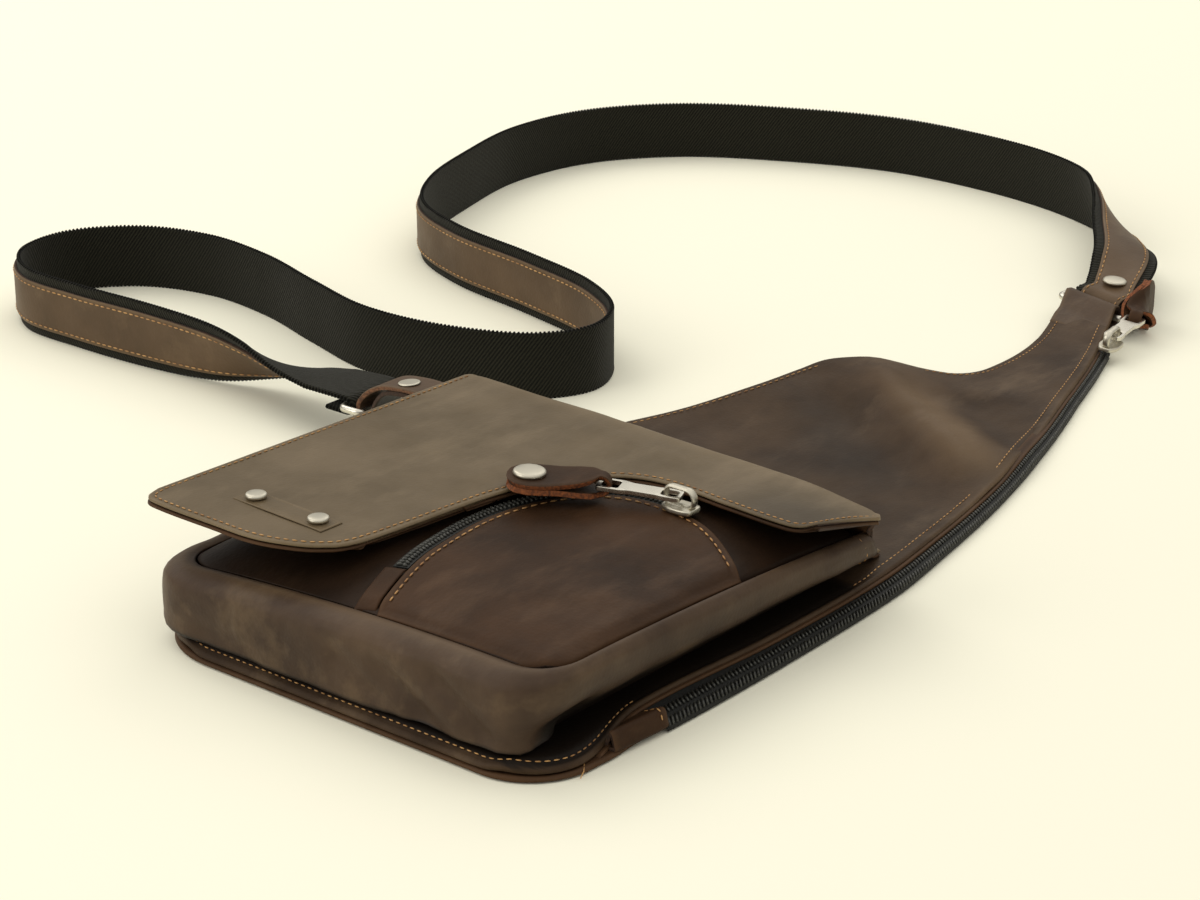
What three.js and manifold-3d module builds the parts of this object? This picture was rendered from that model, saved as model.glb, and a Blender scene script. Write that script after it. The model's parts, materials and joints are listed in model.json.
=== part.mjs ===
// Crossbody bag of waxed brown leather, lying on its back with its strap laid out beside it.
// Millimetres, +Z up. X runs across the bag, Y from its bottom edge to its narrow top end.
import * as THREE from 'three';
import { mergeVertices } from 'three/addons/utils/BufferGeometryUtils.js';
import Module from 'manifold-3d';

const wasm = await Module();
wasm.setup();

// Driving dimensions of the leather and of the gaps between pieces
const LEATHER = 2;
const FLAP_THICKNESS = 3;
const THIN_LEATHER = 1.4;
const SEAT = 0.3;
const POCKET_SEAT = 0.5;
const TIP_Y = 506;
const TIP_SKEW = -0.18;
const SKEW_START_Y = 430;
const SKEW_PIVOT_X = -8;

// Outline of the flat compartment: a row for each station up the bag.
// left and right are the back panel's edges, zip the front panel's edge beside the zip,
// lift the height of the left edge off the table, puff how far the front panel stands above its edges.
const PANEL = [
  { y: 0, left: -100, right: 96, zip: 95, lift: 0, puff: 2.7 },
  { y: 30, left: -100, right: 96.5, zip: 94, lift: 0, puff: 2.7 },
  { y: 65, left: -100, right: 99, zip: 86, lift: 0, puff: 2.7 },
  { y: 135, left: -100, right: 99, zip: 89, lift: 0, puff: 2.7 },
  { y: 205, left: -99, right: 96, zip: 88, lift: 0, puff: 2.7 },
  { y: 250, left: -94, right: 89, zip: 82, lift: 0, puff: 2.4 },
  { y: 290, left: -79, right: 81.5, zip: 75, lift: 2, puff: 2 },
  { y: 330, left: -63, right: 72, zip: 66, lift: 7, puff: 1.6 },
  { y: 365, left: -53, right: 62, zip: 56, lift: 10, puff: 1.4 },
  { y: 380, left: -41, right: 57.5, zip: 51.5, lift: 9, puff: 1.3 },
  { y: 392, left: -29, right: 53.6, zip: 47.6, lift: 5.5, puff: 1.2 },
  { y: 406, left: -14, right: 49, zip: 43, lift: 2, puff: 1.2 },
  { y: 425, left: -8, right: 42.5, zip: 37, lift: 0, puff: 1.2 },
  { y: 460, left: -9, right: 32, zip: 26.5, lift: 0, puff: 1.2 },
  { y: 506, left: -21, right: 16, zip: 10, lift: 0, puff: 1 },
];
const CORNER_LEFT = 40;
const CORNER_RIGHT = 26;
const CORNER_SEWN = { from: 30, reach: 30 };
const EDGE_SLOPE = 6;
const LIFT_REACH = 60;
const ZIP_MARGIN = 0.5;

// Fold that runs across the front panel from the raised left edge to the zip
const RIDGE = { fromX: -48, fromY: 368, toX: 70, toY: 318, width: 26, height: 6, ends: 0.3 };

// Pocket: the seam between its gusset and its front, seen from above
const POCKET = {
  left: -88, right: 87, bottom: 15, mouth: 192, corner: 15, top: 40.5,
  riseUp: 0.25, crown: 5, mouthDip: 6, dipFrom: 0.75, mouthInset: 3,
};
const MOUTH_SLANT = { reach: 40, left: 1, right: 10 };
const SEAM_HEIGHT = { leftBottom: 28, midBottom: 34.5, rightBottom: 35.5, leftMouth: 31, rightMouth: 28 };

// Gusset section from its base up to the seam: up is a share of the height, out a share of the bulge,
// sink how far the wall has turned from the bulge towards the base line.
const GUSSET_SECTION = [
  { up: 0, out: 1, sink: 1 },
  { up: 0.1, out: 1, sink: 0.45 },
  { up: 0.28, out: 1, sink: 0.1 },
  { up: 0.6, out: 1, sink: 0 },
  { up: 0.86, out: 0.95, sink: 0 },
  { up: 0.98, out: 0.7, sink: 0 },
  { up: 1.03, out: 0.33, sink: 0 },
  { up: 1.0, out: 0, sink: 0 },
];
// How far each side of the gusset bulges past the seam, and where its base stands
const GUSSET_SIDES = {
  left: { bulge: 9, base: 4 },
  bottom: { bulge: 14, base: 7 },
  right: { bulge: 6, base: -5 },
};

// Flap: free edge, and the heights of its top face at the free edge and at the fold, across the bag
const FLAP = [
  { x: -101, edge: 19, free: 52, fold: 49 },
  { x: -99, edge: 12.5, free: 52, fold: 49 },
  { x: -93, edge: 9.5, free: 52, fold: 49 },
  { x: -62, edge: 9.5, free: 51.5, fold: 48.5 },
  { x: -45, edge: 10.5, free: 51, fold: 48.3 },
  { x: -32, edge: 15, free: 50.5, fold: 48 },
  { x: -22, edge: 23, free: 49.5, fold: 47.5 },
  { x: -16.5, edge: 35, free: 48.5, fold: 47.5 },
  { x: -14, edge: 60, free: 48, fold: 47.5 },
  { x: -11, edge: 98, free: 47.4, fold: 47.3 },
  { x: -5, edge: 119, free: 47.2, fold: 47.2 },
  { x: 4, edge: 134, free: 47.2, fold: 47 },
  { x: 17, edge: 145, free: 47.3, fold: 46.8 },
  { x: 34, edge: 148, free: 47.6, fold: 46.3 },
  { x: 60, edge: 145, free: 48.2, fold: 45 },
  { x: 88, edge: 142, free: 49, fold: 42 },
  { x: 94.5, edge: 144, free: 49, fold: 41 },
  { x: 97, edge: 150, free: 49, fold: 40.5 },
];
const FOLD = { y: 193, radius: 9, fallRun: 15, footLength: 12, footRise: 5 };
// Width of the flap's two sides from the fold down to the foot, as a share of that at the free edge
const FLAP_SIDES = [
  { down: 0, left: 1, right: 1.045 },
  { down: 0.33, left: 0.947, right: 1.02 },
  { down: 0.67, left: 0.893, right: 0.94 },
  { down: 1, left: 0.84, right: 0.84 },
];

// Curved zip pocket on the pocket front: its stitched edge, from the bottom seam to the right seam
const ARC = [
  { x: 9, y: 17 },
  { x: -2, y: 55 },
  { x: -6, y: 95 },
  { x: 4, y: 126 },
  { x: 24, y: 139 },
  { x: 56, y: 137 },
  { x: 85.5, y: 121 },
];
const ZIP_POCKET_LIFT = 1.4;
const FRONT_ZIP = { near: 0.8, width: 6, thickness: 1.8, from: 0.13, to: 0.9 };
const ZIP_LIP = { near: 0.8, width: 9, from: 0.012, to: 0.122 };

// Side zip band between the panels, and its leather end tab
const SIDE_ZIP = { from: 64, to: 488, thickness: 1.2, coil: 2.2, inset: 0.8, outset: 1 };
const END_TAB = { from: 38, to: 63.4, thickness: 4, width: 10, inset: 1.6, round: 1.5, rise: 1.2 };

// Label patch on the flap, left plain
const LABEL = { x: -51.5, y: 35, length: 44, width: 11, thickness: 1.1 };
const LABEL_RIVETS = [{ name: 'label_rivet_left', x: -67 }, { name: 'label_rivet_right', x: -36 }];

// Rivets: radius and height of the cap, and how flat its dome is
const SMALL_RIVET = { radius: 4, height: 1.7 };
const BIG_RIVET = { radius: 6.2, height: 2 };
const RIVET_FLATNESS = 0.85;
const RIVET_LIFT = 0.1;

// Zip sliders and their pulls
const SLIDER = {
  length: 14, width: 9.6, height: 3.6, corner: 3.2,
  bailLength: 11, bailWidth: 3, bailHeight: 4.6, bailBar: 1.5, bailCorner: 1.2, gapCorner: 0.6,
};
const PULL = {
  length: 32, thickness: 1.8, eyeWidth: 11, eyeLength: 6.4, eyeBar: 1.4, eyeGap: 7.6,
  shaftWidth: 7.2, endWidth: 13.4, slotLength: 6.4, slotWidth: 10.2, endBar: 2,
  eyeCorner: 1.5, neckRun: 3, flareRun: 4, endCorner: 1, holeCorner: 1.2,
};
const FRONT_PULL = { x: 44, y: 139.4, yaw: 202, pitch: 2.6, swing: 14, twist: 0 };
const SIDE_PULL = { x: 23.5, y: 482, z: 6.54, yaw: 99, pitch: -0.5, swing: 0, twist: 80 };
// Leather puller: a strip folded round the tab's end bar. A row for each station away from the bar:
// half is the height of each layer above or below the middle, turn the share of the twist.
const PULLER_LAYER = 2;
const PULLER_LOOP = 3.3;
const PULLER = [
  { along: 0, width: 7.4, half: PULLER_LOOP, turn: 0 },
  { along: 4, width: 12, half: 3, turn: 0.1 },
  { along: 9, width: 16, half: 2.2, turn: 0.45 },
  { along: 15, width: 19, half: 1.4, turn: 0.85 },
  { along: 20, width: 21, half: 1.15, turn: 1 },
  { along: 26, width: 21.6, half: 1.15, turn: 1 },
  { along: 31, width: 17.4, half: 1.15, turn: 1 },
  { along: 33.4, width: 11, half: 1.15, turn: 1 },
  { along: 34.4, width: 4.4, half: 1.15, turn: 1 },
];
const PULLER_RIVET_ROW = 5;

// Strap rings: flat wire frames of the width that takes the webbing
const RING = { length: 39, depth: 14, wire: 3.2, corner: 3, innerCorner: 1.2, bevel: 0.44 };
const LOWER_RING = { x: -165, y: 208.5, z: 17.5, yaw: 90, tilt: 0 };
const UPPER_RING = { x: -9.3, y: 522.4, z: 8.4, yaw: -10, tilt: 5.5 };
const TOP_LOOP = { width: 29, lean: 0.42, legs: [14, 9, 4] };

// Leather tab of the lower ring: an arch from the bag's left edge to the ring
const LOWER_TAB = [
  { x: -89.5, y: 210, z: 0 },
  { x: -96, y: 210, z: 0.8 },
  { x: -103, y: 209.5, z: 5 },
  { x: -113, y: 209, z: 14 },
  { x: -127, y: 208.5, z: 20.4 },
  { x: -141, y: 208.5, z: 19.6 },
  { x: -150.5, y: 208.5, z: 15.6 },
];
const LOWER_TAB_SIZE = { width: 27, thickness: 2.4 };
const LOWER_TAB_RIVET_ROW = 5;

// Strap: webbing with a narrower leather overlay sewn on one face.
// Its route starts at the lower ring and ends at the upper one; roll 0 stands the webbing on its edge
// with the overlay on the left of the route, 90 lays it flat with the overlay up, -90 with the overlay down.
const WEBBING = { width: 30, thickness: 2.2, loop: 12 };
const OVERLAY = { width: 22, thickness: 1.4 };
const STAND = WEBBING.width / 2 + 0.03;
const STRAP = [
  { x: -194, y: 209, z: 19.6, roll: -88 },
  { x: -216, y: 209.5, z: 18.2, roll: -74 },
  { x: -240, y: 208.5, z: 16.6, roll: -46 },
  { x: -270, y: 203.5, z: STAND + 0.6, roll: -14 },
  { x: -310, y: 200, z: STAND + 0.15, roll: 0 },
  { x: -352, y: 198.5, z: STAND, roll: 0 },
  { x: -390, y: 201, z: STAND, roll: 0 },
  { x: -413, y: 219, z: STAND, roll: 0 },
  { x: -417, y: 250, z: STAND, roll: 0 },
  { x: -397, y: 277, z: STAND, roll: 0 },
  { x: -361, y: 289, z: STAND, roll: 0 },
  { x: -318, y: 285, z: STAND, roll: 0 },
  { x: -272, y: 271, z: STAND, roll: 0 },
  { x: -228, y: 259.5, z: STAND, roll: 0 },
  { x: -184, y: 263, z: STAND, roll: 0 },
  { x: -147, y: 280, z: STAND, roll: 0 },
  { x: -134, y: 304, z: STAND, roll: 0 },
  { x: -144, y: 330, z: STAND, roll: 0 },
  { x: -174, y: 351, z: STAND, roll: 0 },
  { x: -222, y: 365, z: STAND, roll: 0 },
  { x: -280, y: 377.5, z: STAND, roll: 0 },
  { x: -320, y: 397, z: STAND, roll: 0 },
  { x: -345, y: 430, z: STAND, roll: 0 },
  { x: -362, y: 476, z: STAND, roll: 0 },
  { x: -374, y: 530, z: STAND, roll: 0 },
  { x: -366, y: 582, z: STAND, roll: 0 },
  { x: -334, y: 625, z: STAND, roll: 0 },
  { x: -282, y: 655, z: STAND, roll: 0 },
  { x: -226, y: 674.5, z: STAND, roll: 0 },
  { x: -172, y: 676, z: STAND, roll: 0 },
  { x: -126, y: 668, z: STAND + 0.15, roll: 1 },
  { x: -92, y: 653, z: STAND + 0.3, roll: 8 },
  { x: -64, y: 627, z: 15.6, roll: 32 },
  { x: -44, y: 601, z: 15.4, roll: 60 },
  { x: -27, y: 571, z: 14.4, roll: 80 },
  { x: -13, y: 545, z: 12.2, roll: 84.5 },
];
const STRAP_STEPS = 102;
const OVERLAY_START_STEP = 4;
const STRAP_LEG = 5;

// Finishes
function finish(color, roughness, metalness) {
  return new THREE.MeshStandardMaterial({ color, roughness, metalness });
}
const BROWN = finish('#4a372b', 0.5, 0);
const DARK_BROWN = finish('#3b2b22', 0.5, 0);
const BLACK_TAPE = finish('#1c1c1b', 0.8, 0);
const BLACK_WEBBING = finish('#141413', 0.95, 0);
const NICKEL = finish('#cfcabd', 0.25, 1);

// Maths helpers
const radians = THREE.MathUtils.degToRad;
const clamp01 = (t) => THREE.MathUtils.clamp(t, 0, 1);
const mix = THREE.MathUtils.lerp;
const ease = (t) => THREE.MathUtils.smoothstep(t, 0, 1);

// A smooth curve through one named column of a table, read at any place along another column
function column(rows, along, key) {
  const slope = (i) => {
    const a = rows[Math.max(i - 1, 0)];
    const b = rows[Math.min(i + 1, rows.length - 1)];
    return (b[key] - a[key]) / (b[along] - a[along]);
  };
  return (at) => {
    let i = 0;
    while (i < rows.length - 2 && at > rows[i + 1][along]) {
      i += 1;
    }
    const span = rows[i + 1][along] - rows[i][along];
    const t = clamp01((at - rows[i][along]) / span);
    const start = (1 + 2 * t) * (1 - t) ** 2 * rows[i][key] + t * (1 - t) ** 2 * span * slope(i);
    return start + t * t * (3 - 2 * t) * rows[i + 1][key] + t * t * (t - 1) * span * slope(i + 1);
  };
}

// Evenly spaced numbers from a to b
function spaced(a, b, steps) {
  return Array.from({ length: steps + 1 }, (unused, i) => mix(a, b, i / steps));
}

// A closed geometry from points and triangles, turned so that its faces point out
function closed(points, triangles) {
  let volume = 0;
  for (const [a, b, c] of triangles) {
    volume += points[a].dot(points[b].clone().cross(points[c]));
  }
  const index = triangles.flatMap(([a, b, c]) => (volume > 0 ? [a, b, c] : [a, c, b]));
  const geometry = new THREE.BufferGeometry().setFromPoints(points);
  geometry.setIndex(index);
  geometry.computeVertexNormals();
  return geometry;
}

// A wall of even thickness behind the face at(u, v)
function wall(at, us, vs, thickness) {
  const face = us.map((u) => vs.map((v) => at(u, v)));
  const [lastU, lastV] = [us.length - 1, vs.length - 1];
  const back = face.map((row, i) => row.map((point, j) => {
    const across = face[Math.min(i + 1, lastU)][j].clone().sub(face[Math.max(i - 1, 0)][j]);
    const up = row[Math.min(j + 1, lastV)].clone().sub(row[Math.max(j - 1, 0)]);
    return point.clone().addScaledVector(across.cross(up).normalize(), -thickness);
  }));
  const points = [...face.flat(), ...back.flat()];
  const front = (i, j) => i * vs.length + j;
  const behind = (i, j) => front(i, j) + us.length * vs.length;
  const triangles = [];
  const quad = (a, b, c, d) => triangles.push([a, b, c], [a, c, d]);
  for (let i = 0; i < lastU; i += 1) {
    for (let j = 0; j < lastV; j += 1) {
      quad(front(i, j), front(i + 1, j), front(i + 1, j + 1), front(i, j + 1));
      quad(behind(i, j), behind(i, j + 1), behind(i + 1, j + 1), behind(i + 1, j));
    }
    quad(front(i, 0), behind(i, 0), behind(i + 1, 0), front(i + 1, 0));
    quad(front(i, lastV), front(i + 1, lastV), behind(i + 1, lastV), behind(i, lastV));
  }
  for (let j = 0; j < lastV; j += 1) {
    quad(front(0, j), front(0, j + 1), behind(0, j + 1), behind(0, j));
    quad(front(lastU, j), behind(lastU, j), behind(lastU, j + 1), front(lastU, j + 1));
  }
  return closed(points, triangles);
}

// A solid swept through sections of equal point counts, with flat ends
function sweep(sections) {
  const count = sections[0].length;
  const triangles = [];
  for (let i = 0; i + 1 < sections.length; i += 1) {
    for (let k = 0; k < count; k += 1) {
      const a = i * count + k;
      const b = i * count + ((k + 1) % count);
      triangles.push([a, b, b + count], [a, b + count, a + count]);
    }
  }
  const end = (sections.length - 1) * count;
  for (let k = 1; k + 1 < count; k += 1) {
    triangles.push([0, k + 1, k], [end, end + k, end + k + 1]);
  }
  return closed(sections.flat(), triangles);
}

// The four corners of a flat band at one station
function bandSection(centre, across, normal, width, thickness, lift = 0) {
  const corner = (side, top) => centre.clone()
    .addScaledVector(across, side * width / 2)
    .addScaledVector(normal, lift + top * thickness / 2);
  return [corner(-1, -1), corner(1, -1), corner(1, 1), corner(-1, 1)];
}

// Boolean solids
function toSolid(geometry) {
  const bare = geometry.clone();
  bare.deleteAttribute('normal');
  bare.deleteAttribute('uv');
  const merged = mergeVertices(bare);
  const mesh = new wasm.Mesh({
    numProp: 3,
    vertProperties: new Float32Array(merged.attributes.position.array),
    triVerts: new Uint32Array(merged.index.array),
  });
  return new wasm.Manifold(mesh);
}

function toGeometry(solid) {
  const mesh = solid.getMesh();
  const geometry = new THREE.BufferGeometry();
  geometry.setAttribute('position', new THREE.BufferAttribute(new Float32Array(mesh.vertProperties), 3));
  geometry.setIndex(new THREE.BufferAttribute(new Uint32Array(mesh.triVerts), 1));
  geometry.computeVertexNormals();
  return geometry;
}

// A rounded rectangle as a shape or a hole, centred on the origin
function roundedRectangle(length, width, radius, outline = new THREE.Shape()) {
  const [x, y] = [length / 2, width / 2];
  outline.moveTo(-x + radius, -y);
  outline.lineTo(x - radius, -y);
  outline.absarc(x - radius, -y + radius, radius, -Math.PI / 2, 0, false);
  outline.lineTo(x, y - radius);
  outline.absarc(x - radius, y - radius, radius, 0, Math.PI / 2, false);
  outline.lineTo(-x + radius, y);
  outline.absarc(-x + radius, y - radius, radius, Math.PI / 2, Math.PI, false);
  outline.lineTo(-x, -y + radius);
  outline.absarc(-x + radius, -y + radius, radius, Math.PI, 1.5 * Math.PI, false);
  return outline;
}

// A plate of the given thickness, centred in Z
function plate(shape, thickness) {
  const options = { depth: thickness, bevelEnabled: false, curveSegments: 3 };
  const geometry = new THREE.ExtrudeGeometry(shape, options);
  return geometry.translate(0, 0, -thickness / 2);
}

const bag = new THREE.Group();

function place(name, geometry, material, parent = bag) {
  const mesh = new THREE.Mesh(geometry, material);
  mesh.name = name;
  parent.add(mesh);
  return mesh;
}

// Flat compartment: back panel and front panel
const panelLeft = column(PANEL, 'y', 'left');
const panelRight = column(PANEL, 'y', 'right');
const panelZip = column(PANEL, 'y', 'zip');
const liftCurve = column(PANEL, 'y', 'lift');
const panelLift = (y) => Math.max(liftCurve(y), 0);
const panelPuff = column(PANEL, 'y', 'puff');
const cornerCut = (y, radius) => (y < radius ? radius - Math.sqrt(radius ** 2 - (radius - y) ** 2) : 0);
const leftEdge = (y) => panelLeft(y) + cornerCut(y, CORNER_LEFT);
const rightEdge = (y) => panelRight(y) - cornerCut(y, CORNER_RIGHT);
const zipEdge = (y) => Math.min(panelZip(y) - cornerCut(y, CORNER_RIGHT), rightEdge(y) - ZIP_MARGIN);
const leftLift = (x, y) => panelLift(y) * (1 - ease((x - leftEdge(y)) / LIFT_REACH));
const backTop = (x, y) => LEATHER + leftLift(x, y);

function ridgeHeight(x, y) {
  const [runX, runY] = [RIDGE.toX - RIDGE.fromX, RIDGE.toY - RIDGE.fromY];
  const length = Math.hypot(runX, runY);
  const along = ((x - RIDGE.fromX) * runX + (y - RIDGE.fromY) * runY) / length ** 2;
  const off = ((x - RIDGE.fromX) * runY - (y - RIDGE.fromY) * runX) / length;
  const ends = ease(along / RIDGE.ends) * ease((1 - along) / RIDGE.ends);
  return RIDGE.height * ends * Math.exp(-((off / RIDGE.width) ** 2));
}

function frontTop(x, y) {
  const fromSewnEdge = Math.min(x - leftEdge(y), y);
  const cornerSewn = 1 - ease((y - CORNER_SEWN.from) / CORNER_SEWN.reach);
  const fromRight = mix(EDGE_SLOPE, zipEdge(y) - x, cornerSewn);
  const inside = ease(Math.min(fromSewnEdge, fromRight) / EDGE_SLOPE);
  const flange = LEATHER + SEAT + LEATHER;
  return flange + leftLift(x, y) + panelPuff(y) * inside + ridgeHeight(x, y) * inside;
}

// Height of the front panel where a piece that rests on it stands, and of the flat part under the pocket
const onPanel = (x, y) => frontTop(x, y) + SEAT;
const pocketFloor = LEATHER + SEAT + LEATHER + PANEL[0].puff + SEAT;
const tipShare = (y) => clamp01((y - SKEW_START_Y) / (TIP_Y - SKEW_START_Y));
const skewed = (x, y) => y + TIP_SKEW * tipShare(y) * (x - SKEW_PIVOT_X);

const EDGE_STATIONS = [0, 0.6, 2.5, 6, 11, 18, 28];
const PANEL_STATIONS = [
  ...EDGE_STATIONS, 40, 52, SIDE_ZIP.from, ...spaced(96, 192, 3), ...spaced(212, TIP_Y, 14),
];
const PANEL_ACROSS = [0, 0.02, 0.045, 0.12, 0.26, 0.42, 0.58, 0.74, 0.88, 0.97, 1];
const onSurface = (right, top) => (across, y) => {
  const x = mix(leftEdge(y), right(y), across);
  return new THREE.Vector3(x, skewed(x, y), top(x, y));
};
place('back_panel', wall(onSurface(rightEdge, backTop), PANEL_ACROSS, PANEL_STATIONS, LEATHER), DARK_BROWN);
place('front_panel', wall(onSurface(zipEdge, frontTop), PANEL_ACROSS, PANEL_STATIONS, LEATHER), BROWN);

// Pocket: gusset band, then its crowned front
const cornerY = POCKET.bottom + POCKET.corner;
const cornerLeftX = POCKET.left + POCKET.corner;
const cornerRightX = POCKET.right - POCKET.corner;
const seam = new THREE.Path();
seam.moveTo(POCKET.left, POCKET.mouth);
seam.lineTo(POCKET.left, cornerY);
seam.absarc(cornerLeftX, cornerY, POCKET.corner, Math.PI, 1.5 * Math.PI);
seam.lineTo(cornerRightX, POCKET.bottom);
seam.absarc(cornerRightX, cornerY, POCKET.corner, 1.5 * Math.PI, 2 * Math.PI);
seam.lineTo(POCKET.right, POCKET.mouth);

const pocketAcross = (x) => clamp01((x - POCKET.left) / (POCKET.right - POCKET.left));
const pocketUp = (y) => clamp01((y - POCKET.bottom) / (POCKET.mouth - POCKET.bottom));

function seamHeight(x, y) {
  const [across, up] = [pocketAcross(x), pocketUp(y)];
  const sag = SEAM_HEIGHT.midBottom - (SEAM_HEIGHT.leftBottom + SEAM_HEIGHT.rightBottom) / 2;
  const straight = mix(SEAM_HEIGHT.leftBottom, SEAM_HEIGHT.rightBottom, across);
  const bottom = straight + 4 * across * (1 - across) * sag;
  const mouth = mix(SEAM_HEIGHT.leftMouth, SEAM_HEIGHT.rightMouth, across);
  return mix(bottom, mouth, up ** 2);
}

function pocketTop(x, y) {
  const acrossRise = 1 - Math.abs(2 * pocketAcross(x) - 1) ** POCKET.crown;
  const upRise = 1 - (1 - clamp01(pocketUp(y) / POCKET.riseUp)) ** 2;
  const dip = POCKET.mouthDip * ease((pocketUp(y) - POCKET.dipFrom) / (1 - POCKET.dipFrom));
  return mix(seamHeight(x, y), POCKET.top - dip, acrossRise * upRise);
}

function gussetSide(outward, key) {
  const [left, right] = [clamp01(-outward.x), clamp01(outward.x)];
  const sides = left * GUSSET_SIDES.left[key] + right * GUSSET_SIDES.right[key];
  return mix(GUSSET_SIDES.bottom[key], sides / Math.max(left + right, 1e-6), (left + right) ** 2);
}

function gussetAt(s, row) {
  const point = seam.getPointAt(s);
  const tangent = seam.getTangentAt(s);
  const outward = new THREE.Vector2(tangent.y, -tangent.x);
  const { up, out, sink } = GUSSET_SECTION[row];
  const reach = mix(gussetSide(outward, 'bulge') * out, gussetSide(outward, 'base'), sink);
  const nearMouth = clamp01(1 - (POCKET.mouth - point.y) / MOUTH_SLANT.reach);
  const slant = outward.x > 0 ? MOUTH_SLANT.right : MOUTH_SLANT.left;
  const x = point.x + outward.x * reach;
  const y = point.y + outward.y * reach + slant * nearMouth * (1 - Math.min(up, 1));
  return new THREE.Vector3(x, y, mix(pocketFloor, seamHeight(point.x, point.y), up));
}

const seamLength = seam.getLength();
const sideShare = (POCKET.mouth - POCKET.bottom - POCKET.corner) / seamLength;
const cornerShare = (Math.PI / 2) * POCKET.corner / seamLength;
const GUSSET_STATIONS = [
  ...spaced(0, sideShare, 6),
  ...spaced(sideShare, sideShare + cornerShare, 6).slice(1),
  ...spaced(sideShare + cornerShare, 1 - sideShare - cornerShare, 8).slice(1),
  ...spaced(1 - sideShare - cornerShare, 1 - sideShare, 6).slice(1),
  ...spaced(1 - sideShare, 1, 6).slice(1),
];
place('pocket_gusset', wall(gussetAt, GUSSET_STATIONS, GUSSET_SECTION.map((row, i) => i), LEATHER), BROWN);

const FRONT_INSET = 0.5;
const frontStart = POCKET.bottom + FRONT_INSET;
const pocketEdge = (y) => cornerCut(Math.max(y - frontStart, 0), POCKET.corner) + FRONT_INSET;
const POCKET_STATIONS = [0, 0.5, 2, 4.5, 8, 14.5].map((rise) => frontStart + rise);
const POCKET_ROWS = [...POCKET_STATIONS, ...spaced(44, POCKET.mouth - POCKET.mouthInset, 8)];
const POCKET_ACROSS = [0, 0.03, 0.1, 0.22, 0.36, 0.5, 0.64, 0.78, 0.9, 0.97, 1];
const pocketFrontAt = (across, y) => {
  const x = mix(POCKET.left + pocketEdge(y), POCKET.right - pocketEdge(y), across);
  return new THREE.Vector3(x, y, pocketTop(x, y));
};
place('pocket_front', wall(pocketFrontAt, POCKET_ACROSS, POCKET_ROWS, LEATHER), DARK_BROWN);

// Curved zip pocket: its leather panel, the zip beside its stitched edge, and the lip over the zip's end
const arc = new THREE.SplineCurve(ARC.map(({ x, y }) => new THREE.Vector2(x, y)));
const BORDER_INSET = 1.2;
const border = new THREE.Path();
border.moveTo(ARC[0].x, POCKET.bottom + BORDER_INSET);
border.lineTo(cornerRightX, POCKET.bottom + BORDER_INSET);
border.absarc(cornerRightX, cornerY, POCKET.corner - BORDER_INSET, 1.5 * Math.PI, 2 * Math.PI);
border.lineTo(POCKET.right - BORDER_INSET, ARC[ARC.length - 1].y);

// A point on the pocket front, raised by the given height
const onPocket = (x, y, raise) => new THREE.Vector3(x, y, pocketTop(x, y) + raise);
// A point beside the arc, at the given distance on its outer side
function besideArc(s, distance, raise) {
  const point = arc.getPointAt(s);
  const tangent = arc.getTangentAt(s);
  return onPocket(point.x - tangent.y * distance, point.y + tangent.x * distance, raise);
}

const zipPocketAt = (s, inward) => {
  const point = arc.getPointAt(s).lerp(border.getPointAt(s), inward);
  return onPocket(point.x, point.y, POCKET_SEAT + ZIP_POCKET_LIFT);
};
const arcSteps = spaced(0.02, 0.98, 20);
const arcInward = [1, 0.8, 0.6, 0.4, 0.2, 0.04, 0];
place('zip_pocket_panel', wall(zipPocketAt, arcSteps, arcInward, ZIP_POCKET_LIFT), BROWN);

const zipRaise = POCKET_SEAT + FRONT_ZIP.thickness;
const frontZipAt = (s, across) => besideArc(s, FRONT_ZIP.near + FRONT_ZIP.width * across, zipRaise);
const frontZipSteps = spaced(FRONT_ZIP.from, FRONT_ZIP.to, 18);
place('front_zip', wall(frontZipAt, frontZipSteps, [0, 0.5, 1], FRONT_ZIP.thickness), BLACK_TAPE);

const lipAt = (s, across) => besideArc(s, ZIP_LIP.near + ZIP_LIP.width * across, POCKET_SEAT + THIN_LEATHER);
place('zip_lip', wall(lipAt, spaced(ZIP_LIP.from, ZIP_LIP.to, 4), [0, 0.5, 1], THIN_LEATHER), DARK_BROWN);

// Flap: over the pocket, round the fold and down to its foot on the front panel
const flapEdge = column(FLAP, 'x', 'edge');
const flapFree = column(FLAP, 'x', 'free');
const flapFold = column(FLAP, 'x', 'fold');
const foldStart = FOLD.y - FOLD.radius;
const flapShare = (x, y) => clamp01((y - flapEdge(x)) / (foldStart - flapEdge(x)));
const flapTop = (x, y) => mix(flapFree(x), flapFold(x), flapShare(x, y));

// Rows of the flap: over counts along the pocket, bend round the fold, fall down its back,
// foot along the panel
const FLAP_ROWS = [
  ...[0, 0.025, 0.09, 0.2, 0.35, 0.5, 0.65, 0.8, 0.92].map((over) => ({ over, bend: 0, fall: 0, foot: 0 })),
  ...[0, 0.25, 0.5, 0.75, 1].map((bend) => ({ over: 1, bend, fall: 0, foot: 0 })),
  ...[0.5, 0.9].map((fall) => ({ over: 1, bend: 1, fall, foot: 0 })),
  ...[0.35, 0.65, 1].map((foot) => ({ over: 1, bend: 1, fall: 1, foot })),
];

const flapLeft = column(FLAP_SIDES, 'down', 'left');
const flapRight = column(FLAP_SIDES, 'down', 'right');

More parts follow.
